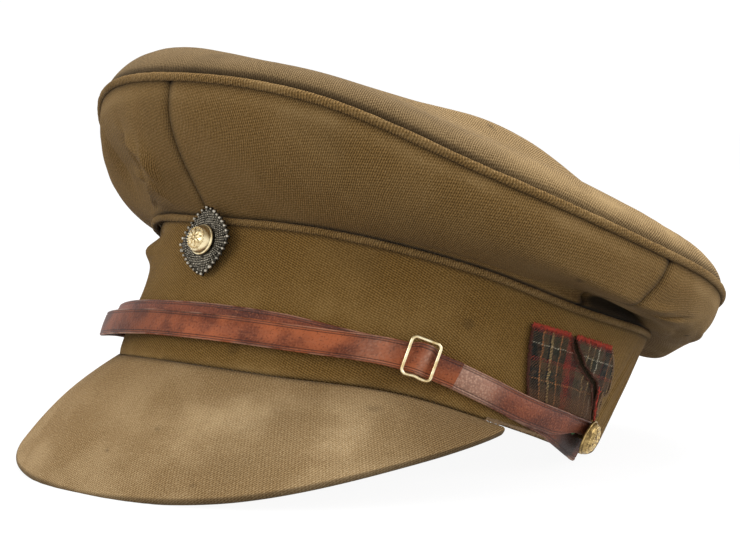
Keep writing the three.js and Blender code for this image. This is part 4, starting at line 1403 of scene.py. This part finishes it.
def thread_material(name, colour):
    material, tree, shader = new_material(name)
    place = add_node(tree, "ShaderNodeTexCoord").outputs["Object"]
    cloud = noise_node(tree, place, 900.0, 2.0)
    dark = tuple(channel * 0.45 for channel in colour[:3]) + (1.0,)
    tree.links.new(mix_colour(tree, cloud, dark, colour), shader.inputs["Base Color"])
    shader.inputs["Roughness"].default_value = 0.9
    shader.inputs["Specular IOR Level"].default_value = 0.15
    return material


FRAYED_EDGES = rows_of(
    "name edge from to count lean kind",
    ("head_front", None, (79.2, 0.2), (89.4, 0.2), 70, 88, "red"),
    ("head_rear", None, (91.4, 0.2), (104.4, 0.2), 80, 88, "red"),
    ("left", "front", (0, 1.0), (0, 25.5), 60, 185, "dark"),
    ("slit_left", "slit_front", (0, 1), (0, 24), 70, 20, "dark"),
    ("slit_right", "slit_rear", (0, 1), (0, 24), 70, 200, "dark"),
    ("right", "rear", (0, 1.0), (0, 26.0), 60, -8, "pale"),
    ("tear", "slit_rear", (0.6, 16), (0.6, 28), 70, 70, "red"),
    ("band_foot", None, (80, 38.0), (108, 39.6), 420, 60, "pale"),
    ("tear_end", "slit_rear", (2.6, 17), (1.6, 25), 50, 20, "pale"),
)
threads = {
    "red": thread_material("red_yarn", rgb(0.55, 0.075, 0.045)),
    "dark": thread_material("dark_yarn", rgb(0.10, 0.034, 0.02)),
    "pale": thread_material("pale_yarn", rgb(0.34, 0.22, 0.12)),
}
for number, edge in enumerate(FRAYED_EDGES):
    share = np.linspace(0, 1, edge["count"])
    turn = edge["from"][0] + (edge["to"][0] - edge["from"][0]) * share
    down = edge["from"][1] + (edge["to"][1] - edge["from"][1]) * share
    if edge["edge"]:
        turn = turn + patch_edge(edge["edge"], down)
    stray = lumps(np.stack([share * 40, share * 0, share * 0], -1), 1.0, 60 + number)
    points, out = patch_point(turn, down + 0.3 * stray)
    points = points + out * (0.35 + 0.2 * stray)[:, None]
    ahead = unit(patch_point(turn + 0.2, down)[0] - patch_point(turn - 0.2, down)[0])
    rise = unit(patch_point(turn, down - 0.2)[0] - patch_point(turn, down + 0.2)[0])
    c, s = math.cos(math.radians(edge["lean"])), math.sin(math.radians(edge["lean"]))
    strands = grains_object(
        "fray_" + edge["name"],
        to_row(points),
        turned_to_row(np.eye(3), out),
        turned_to_row(np.eye(3), ahead * c + rise * s),
        0.9 + 0.6 * stray,
        threads[edge["kind"]],
        (2.2, 0.32, 0.32),
        stray=0.55,
        seed=number + 5,
    )
    fitted(strands, threads[edge["kind"]], "tartan")

# %% [markdown]
# ## Metal
# The buckle is a loop of brass wire. The buttons are domed brass with a plain rosette, and the
# badge is a lozenge of dark silver with rows of beads that spread from a gilt boss. Bodies are
# turned or lofted from profiles, and every bead and petal is a grain.

# %% Metal materials


def metal_material(name, clean, dull, scale, low, high):
    material, tree, shader = new_material(name)
    place = add_node(tree, "ShaderNodeTexCoord").outputs["Object"]
    cloud = noise_node(tree, place, scale, 5.0)
    colour = mix_colour(tree, ramp(tree, cloud, 0.35, 0.7), clean, dull)
    surfaced(tree, shader, colour, cloud, 0.00005, low, 0.5)
    rough = plus(tree, times(tree, cloud, high - low), low)
    tree.links.new(rough, shader.inputs["Roughness"])
    shader.inputs["Metallic"].default_value = 1.0
    return material


brass = metal_material(
    "worn_brass", rgb(0.97, 0.86, 0.58), rgb(0.60, 0.44, 0.20), 350.0, 0.16, 0.45
)
button_brass = metal_material(
    "button_brass", rgb(0.50, 0.35, 0.14), rgb(0.13, 0.085, 0.035), 600.0, 0.3, 0.55
)
button_relief = metal_material(
    "button_relief", rgb(0.80, 0.60, 0.28), rgb(0.42, 0.29, 0.12), 500.0, 0.25, 0.5
)
gilt = metal_material(
    "badge_gilt", rgb(0.92, 0.79, 0.50), rgb(0.62, 0.47, 0.24), 500.0, 0.18, 0.45
)
silver = metal_material(
    "dark_silver", rgb(0.10, 0.090, 0.072), rgb(0.018, 0.015, 0.011), 900.0, 0.3, 0.6
)
bead_silver = metal_material(
    "bead_silver", rgb(0.46, 0.42, 0.34), rgb(0.10, 0.088, 0.065), 1200.0, 0.3, 0.55
)
bright_silver = metal_material(
    "rubbed_silver", rgb(0.58, 0.54, 0.45), rgb(0.12, 0.105, 0.08), 700.0, 0.25, 0.5
)

# %% Buckle


def strap_frame(table, turn, clear, step=2.0):
    def standing(at):
        return stand_on_band(at, float(along_table(table, "height", np.array([at]))[0]), clear)

    place, axes = standing(turn)
    along = unit(standing(turn + step)[0] - standing(turn - step)[0])
    across = unit(np.cross(axes[2], along))
    return place, np.array([along, across, np.cross(along, across)])


def wire_loop(around=144, sides=14):
    """A rounded rectangle of wire, a little bent at its lower side as the real one is."""
    x, y = BUCKLE["length"] / 2 - BUCKLE["wire"], BUCKLE["width"] / 2 - BUCKLE["wire"]
    corner = BUCKLE["corner"]
    quarter = np.linspace(0, math.pi / 2, around // 8)
    line = []
    for k, (sx, sy) in enumerate(((1, 1), (-1, 1), (-1, -1), (1, -1))):
        turn = quarter + k * math.pi / 2
        corner_x, corner_y = sx * (x - corner), sy * (y - corner)
        line.append(
            np.stack([corner_x + corner * np.cos(turn), corner_y + corner * np.sin(turn)], -1)
        )
    line = np.concatenate(line)
    closed = np.concatenate([line, line[:1]])
    length = np.concatenate([[0], np.cumsum(np.linalg.norm(np.diff(closed, axis=0), axis=1))])
    at = np.linspace(0, length[-1], around, endpoint=False)
    flat = np.stack([np.interp(at, length, closed[:, n]) for n in (0, 1)], -1)
    bend = 0.35 * hump(flat[:, 0], -0.5, 1.6) * (flat[:, 1] < 0)
    flat[:, 1] += bend
    ahead = unit(np.roll(flat, -1, 0) - np.roll(flat, 1, 0))
    side = np.stack([ahead[:, 1], -ahead[:, 0], np.zeros(around)], -1)
    angle = np.arange(sides + 1) * 2 * math.pi / sides
    ring = side[:, None] * np.cos(angle)[:, None] + np.array([0, 0, 1.0]) * np.sin(angle)[:, None]
    middle = np.concatenate([flat, np.zeros((around, 1))], 1)[:, None]
    return middle + BUCKLE["wire"] * ring


points = wire_loop()
place, axes = strap_frame(STRAP_UPPER, BUCKLE["turn"], BUCKLE["clear"])
placed = in_frame((place + axes[1] * BUCKLE["lift"], axes), points)
fitted(closed_rings("buckle_wire", placed), brass, "strap_brass", "buckle")

# %% Turned bodies


def turned_object(name, frame_of, profile, spokes=72):
    """A body turned from a profile of radius and height, closed at its poles."""
    profile = np.array(profile, float)
    angle = np.arange(spokes) * 2 * math.pi / spokes
    points = np.stack(
        np.broadcast_arrays(
            np.cos(angle)[:, None] * profile[:, 0],
            np.sin(angle)[:, None] * profile[:, 0],
            profile[:, 1] + 0 * angle[:, None],
        ),
        -1,
    )
    return closed_rings(name, in_frame(frame_of, points))


def dome_line(radius, start, height, steps=18):
    angle = np.linspace(0, math.pi / 2, steps)
    return [(radius * math.cos(a) ** 0.8, start + height * math.sin(a)) for a in angle]


def ring_of_grains(name, frame_of, material, radius, height, tilt, count, size, shape, phase=0.0):
    """Grains in a ring round a frame's z, each turned to point outwards and lean with a dome."""
    angle = (np.arange(count) + phase) * 2 * math.pi / count
    c, s = np.cos(angle), np.sin(angle)
    lean = math.radians(tilt)
    places = np.stack([radius * c, radius * s, np.full(count, height)], -1)
    facing = np.stack([c * math.sin(lean), s * math.sin(lean), np.full(count, math.cos(lean))], -1)
    along = np.stack([c * math.cos(lean), s * math.cos(lean), np.full(count, -math.sin(lean))], -1)
    axes = frame_of[1]
    return grains_object(
        name,
        in_frame(frame_of, places),
        turned_to_row(axes, facing),
        turned_to_row(axes, along),
        size,
        material,
        shape,
    )


# %% Buttons
BUTTON = {
    "turn": 109.6, "height": 7.4, "clear": 4.2, "radius": 6.8, "rim": 1.0,
    "dome_radius": 6.2, "dome": 3.2, "shank": 1.7, "askew": 13.0,
}
BUTTON_RIM = ((0.3, 0.12), (0, 0.5), (0.05, 0.95), (0.4, 1.15), (0.62, 1.0))
VERDIGRIS = rgb(0.10, 0.20, 0.085)
green_crust = thread_material("verdigris", VERDIGRIS)
for side, name in ((1, "button_left"), (-1, "button_right")):
    place, axes = stand_on_band(side * BUTTON["turn"], BUTTON["height"], BUTTON["clear"])
    askew = math.radians(side * BUTTON["askew"])
    spun = [axes[0] * math.cos(askew) - axes[2] * math.sin(askew), axes[1]]
    standing = (place, np.array([*spun, np.cross(*spun)]))
    foot = GAP - BUTTON["clear"]
    profile = [(0, foot), (BUTTON["shank"], foot), (BUTTON["shank"], 0), (BUTTON["radius"] - 1.2, 0)]
    profile += [(BUTTON["radius"] - inset, rise) for inset, rise in BUTTON_RIM]
    profile += dome_line(BUTTON["dome_radius"], BUTTON["rim"], BUTTON["dome"])
    profile[-1] = (0, profile[-1][1])
    fitted(turned_object(name + "_brass", standing, profile), button_brass, "strap_brass", name)
    for part, radius, height, tilt, count, size, shape in (
        ("petals", 2.2, 4.05, 18, 8, 1.0, (2.2, 1.0, 0.5)),
        ("inner_beads", 3.9, 3.6, 34, 26, 1.0, (0.55, 0.55, 0.5)),
        ("outer_beads", 5.3, 2.75, 52, 36, 1.0, (0.6, 0.6, 0.5)),
        ("centre", 0.01, 4.2, 0, 1, 1.0, (1.3, 1.3, 0.7)),
    ):
        ring = ring_of_grains(
            name + "_" + part, standing, button_relief, radius, height, tilt, count, size, shape
        )
        fitted(ring, button_relief, "strap_brass")
    beside = (place - axes[0] * side * 8.6 + axes[1] * 1.2 - axes[2] * 1.9, axes)
    crust = ring_of_grains(
        name + "_crust", beside, green_crust, 2.0, 0.0, 0, 24, 1.0, (0.9, 0.75, 0.45), phase=0.5
    )
    fitted(crust, green_crust, "strap_brass")

# %% Badge plate
BADGE = {
    "turn": 3.6, "height": 45.6, "clear": 3.9, "half_width": 12.5, "half_height": 13.2,
    "thick": 1.4, "rays": 32, "bow": 1.4, "ray_depth": 1.1, "lean": 8, "roll": 11,
}
badge_frame = stand_on_band(
    BADGE["turn"], BADGE["height"], BADGE["clear"], BADGE["lean"], BADGE["roll"]
)


def lozenge(angle):
    """The plate's reach at an angle, in millimetres, before its rays are cut."""
    c, s = np.abs(np.cos(angle)), np.abs(np.sin(angle))
    reach = (c ** BADGE["bow"] + s ** BADGE["bow"]) ** (-1 / BADGE["bow"])
    return reach[..., None] * np.stack(
        [BADGE["half_width"] * np.cos(angle), BADGE["half_height"] * np.sin(angle)], -1
    )


PLATE_SPOKES, PLATE_RINGS = 384, 16
angle = np.arange(PLATE_SPOKES) * 2 * math.pi / PLATE_SPOKES
ray = 0.5 + 0.5 * np.cos(angle * BADGE["rays"])
reach = 1 - BADGE["ray_depth"] / BADGE["half_width"] * (1 - ray)
share = np.linspace(0.0, 1.0, PLATE_RINGS)
flat = lozenge(angle)[:, None] * (reach[:, None] * share)[..., None]
relief = 0.45 * (ray[:, None] - 0.5) * np.clip((share - 0.4) / 0.3, 0, 1)
top = BADGE["thick"] - 0.75 * share**2 + relief * 0.6
face = np.concatenate([flat, top[..., None]], -1)
back = np.concatenate([flat[:, ::-1], np.zeros((PLATE_SPOKES, PLATE_RINGS, 1))], -1)
points = np.concatenate([face, back], 1)
plate = closed_rings("badge_plate_silver", in_frame(badge_frame, points))
fitted(plate, silver, "badge_silver", "badge_plate")

# %% Badge beads
bead_places, bead_sizes, tip_places = [], [], []
for k in range(BADGE["rays"] * 2):
    angle = np.array(math.pi * k / BADGE["rays"])
    length = float(np.linalg.norm(lozenge(angle)))
    ahead = lozenge(angle) / length
    between = k % 2
    if not between:
        tip_places.append([*(ahead * (length - 0.75)), 0.95])
    for step in np.arange(length - 1.9 - 0.5 * between, 6.1, -0.9):
        bead_places.append([*(ahead * step), 1.42 - 0.6 * (step / length) ** 2])
        bead_sizes.append(0.44 + 0.26 * step / length)
print("badge beads:", len(bead_places), "and tips:", len(tip_places))
axes = badge_frame[1]
out, ahead = turned_to_row(axes, (0, 0, 1)), turned_to_row(axes, (1, 0, 0))
tip_sizes = 0.9 + 0.55 * lumps(np.array(tip_places), 3.0, 71)
for name, places, sizes, material, shape in (
    ("badge_beads", bead_places, bead_sizes, bead_silver, (1.0, 1.0, 0.9)),
    ("badge_tips", tip_places, tip_sizes, bright_silver, (1.4, 1.4, 1.3)),
):
    placed = in_frame(badge_frame, places)
    grains = grains_object(name, placed, out, ahead, sizes, material, shape)
    fitted(grains, material, "badge_silver")

# %% Badge boss
BOSS = {"radius": 5.6, "dome_radius": 5.2, "dome": 3.4, "rim": 1.0}
base = BADGE["thick"] + GAP
profile = [(0, base), (BOSS["radius"] - 0.2, base), (BOSS["radius"], base + 0.3)]
profile += [(BOSS["radius"], base + 0.8), (BOSS["radius"] - 0.25, base + BOSS["rim"])]
profile += dome_line(BOSS["dome_radius"], base + BOSS["rim"], BOSS["dome"])
profile[-1] = (0, profile[-1][1])
fitted(turned_object("badge_boss_gilt", badge_frame, profile), gilt, "badge_gilt", "badge_boss")
crest = base + BOSS["rim"] + BOSS["dome"]
for part, radius, drop, tilt, count, shape in (
    ("petals", 2.1, 0.10, 18, 8, (2.7, 1.25, 0.8)),
    ("beads", 3.9, 0.75, 40, 24, (0.7, 0.7, 0.65)),
    ("centre", 0.01, -0.1, 0, 1, (1.4, 1.4, 0.9)),
):
    ring = ring_of_grains(
        "badge_" + part + "_gilt", badge_frame, gilt, radius, crest - drop, tilt, count, 1.0, shape
    )
    fitted(ring, gilt, "badge_gilt")

# %% [markdown]
# ## Floor, light and camera
# The cap stands on a plain pale floor under soft studio light from above, and the camera looks
# from the front left, a little above the floor, with a long lens.

# %% Stage
FLOOR_SIZE = 6.0
floor_mesh = bpy.data.meshes.new("floor")
half = FLOOR_SIZE / 2
corners = [(-half, -half, 0), (half, -half, 0), (half, half, 0), (-half, half, 0)]
floor_mesh.from_pydata(corners, [], [(0, 1, 2, 3)])
floor = new_object("floor", floor_mesh)
paper, tree, shader = new_material("floor_paper")
shader.inputs["Base Color"].default_value = rgb(0.12, 0.12, 0.12)
shader.inputs["Roughness"].default_value = 1.0
shader.inputs["Specular IOR Level"].default_value = 0.0
shader.inputs["Emission Color"].default_value = rgb(1.0, 1.0, 1.0)
shader.inputs["Emission Strength"].default_value = 0.93
floor_mesh.materials.append(paper)
floor.visible_diffuse = False
floor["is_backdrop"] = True

# %% Sky
HORIZON, ZENITH, BELOW = 1.03, 0.6, 0.22
world = bpy.data.worlds.new("studio")
bpy.context.scene.world = world
world.use_nodes = True
tree = world.node_tree
direction = add_node(tree, "ShaderNodeTexCoord").outputs["Generated"]
height = add_node(tree, "ShaderNodeSeparateXYZ", {}, i0=direction).outputs[2]
shade = ramp(tree, height, 0.25, 0.6)
strength = plus(tree, times(tree, shade, ZENITH - HORIZON), HORIZON)
under = ramp(tree, height, -0.08, -0.35)
strength = plus(tree, strength, times(tree, under, BELOW - HORIZON))
background = tree.nodes["Background"]
background.inputs["Color"].default_value = rgb(1.0, 1.0, 1.0)
tree.links.new(strength, background.inputs["Strength"])

# %% Lamps
LAMPS = rows_of(
    "name place size power",
    ("key", (-0.25, 0.45, 1.45), 1.0, 24.0),
    ("front", (-0.2, -1.5, 0.8), 0.7, 5.0),
    ("side", (1.3, 0.9, 0.55), 0.8, 7.0),
)
for entry in LAMPS:
    lamp = bpy.data.lights.new(entry["name"], "AREA")
    lamp.energy = entry["power"]
    lamp.size = entry["size"]
    light = new_object(entry["name"], lamp)
    light.location = entry["place"]
    aim = Vector((0.0, 0.0, 0.08)) - light.location
    light.rotation_euler = aim.to_track_quat("-Z", "Y").to_euler()
bpy.context.scene.view_settings.view_transform = "Standard"

# %% Camera
CAMERA_PLACE = Vector((0.72827, -0.67469, 0.15589))
CAMERA_AIM = Vector((-0.00374, 0.00077, 0.06666))
lens = bpy.data.cameras.new("camera")
lens.lens = 125.7
lens.sensor_width = 36.0
camera = new_object("camera", lens)
camera.location = CAMERA_PLACE
camera.rotation_euler = (CAMERA_AIM - CAMERA_PLACE).to_track_quat("-Z", "Y").to_euler()
bpy.context.scene.camera = camera

# %% [markdown]
# ## Sizes
# The boxes of the solid model and of the visual model are both printed.

# %% Finish
visual_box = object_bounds()
sizes = {
    "cad": [list(map(float, corner)) for corner in cad_box],
    "visual": [list(map(float, corner)) for corner in visual_box],
}
print("sizes:", sizes)
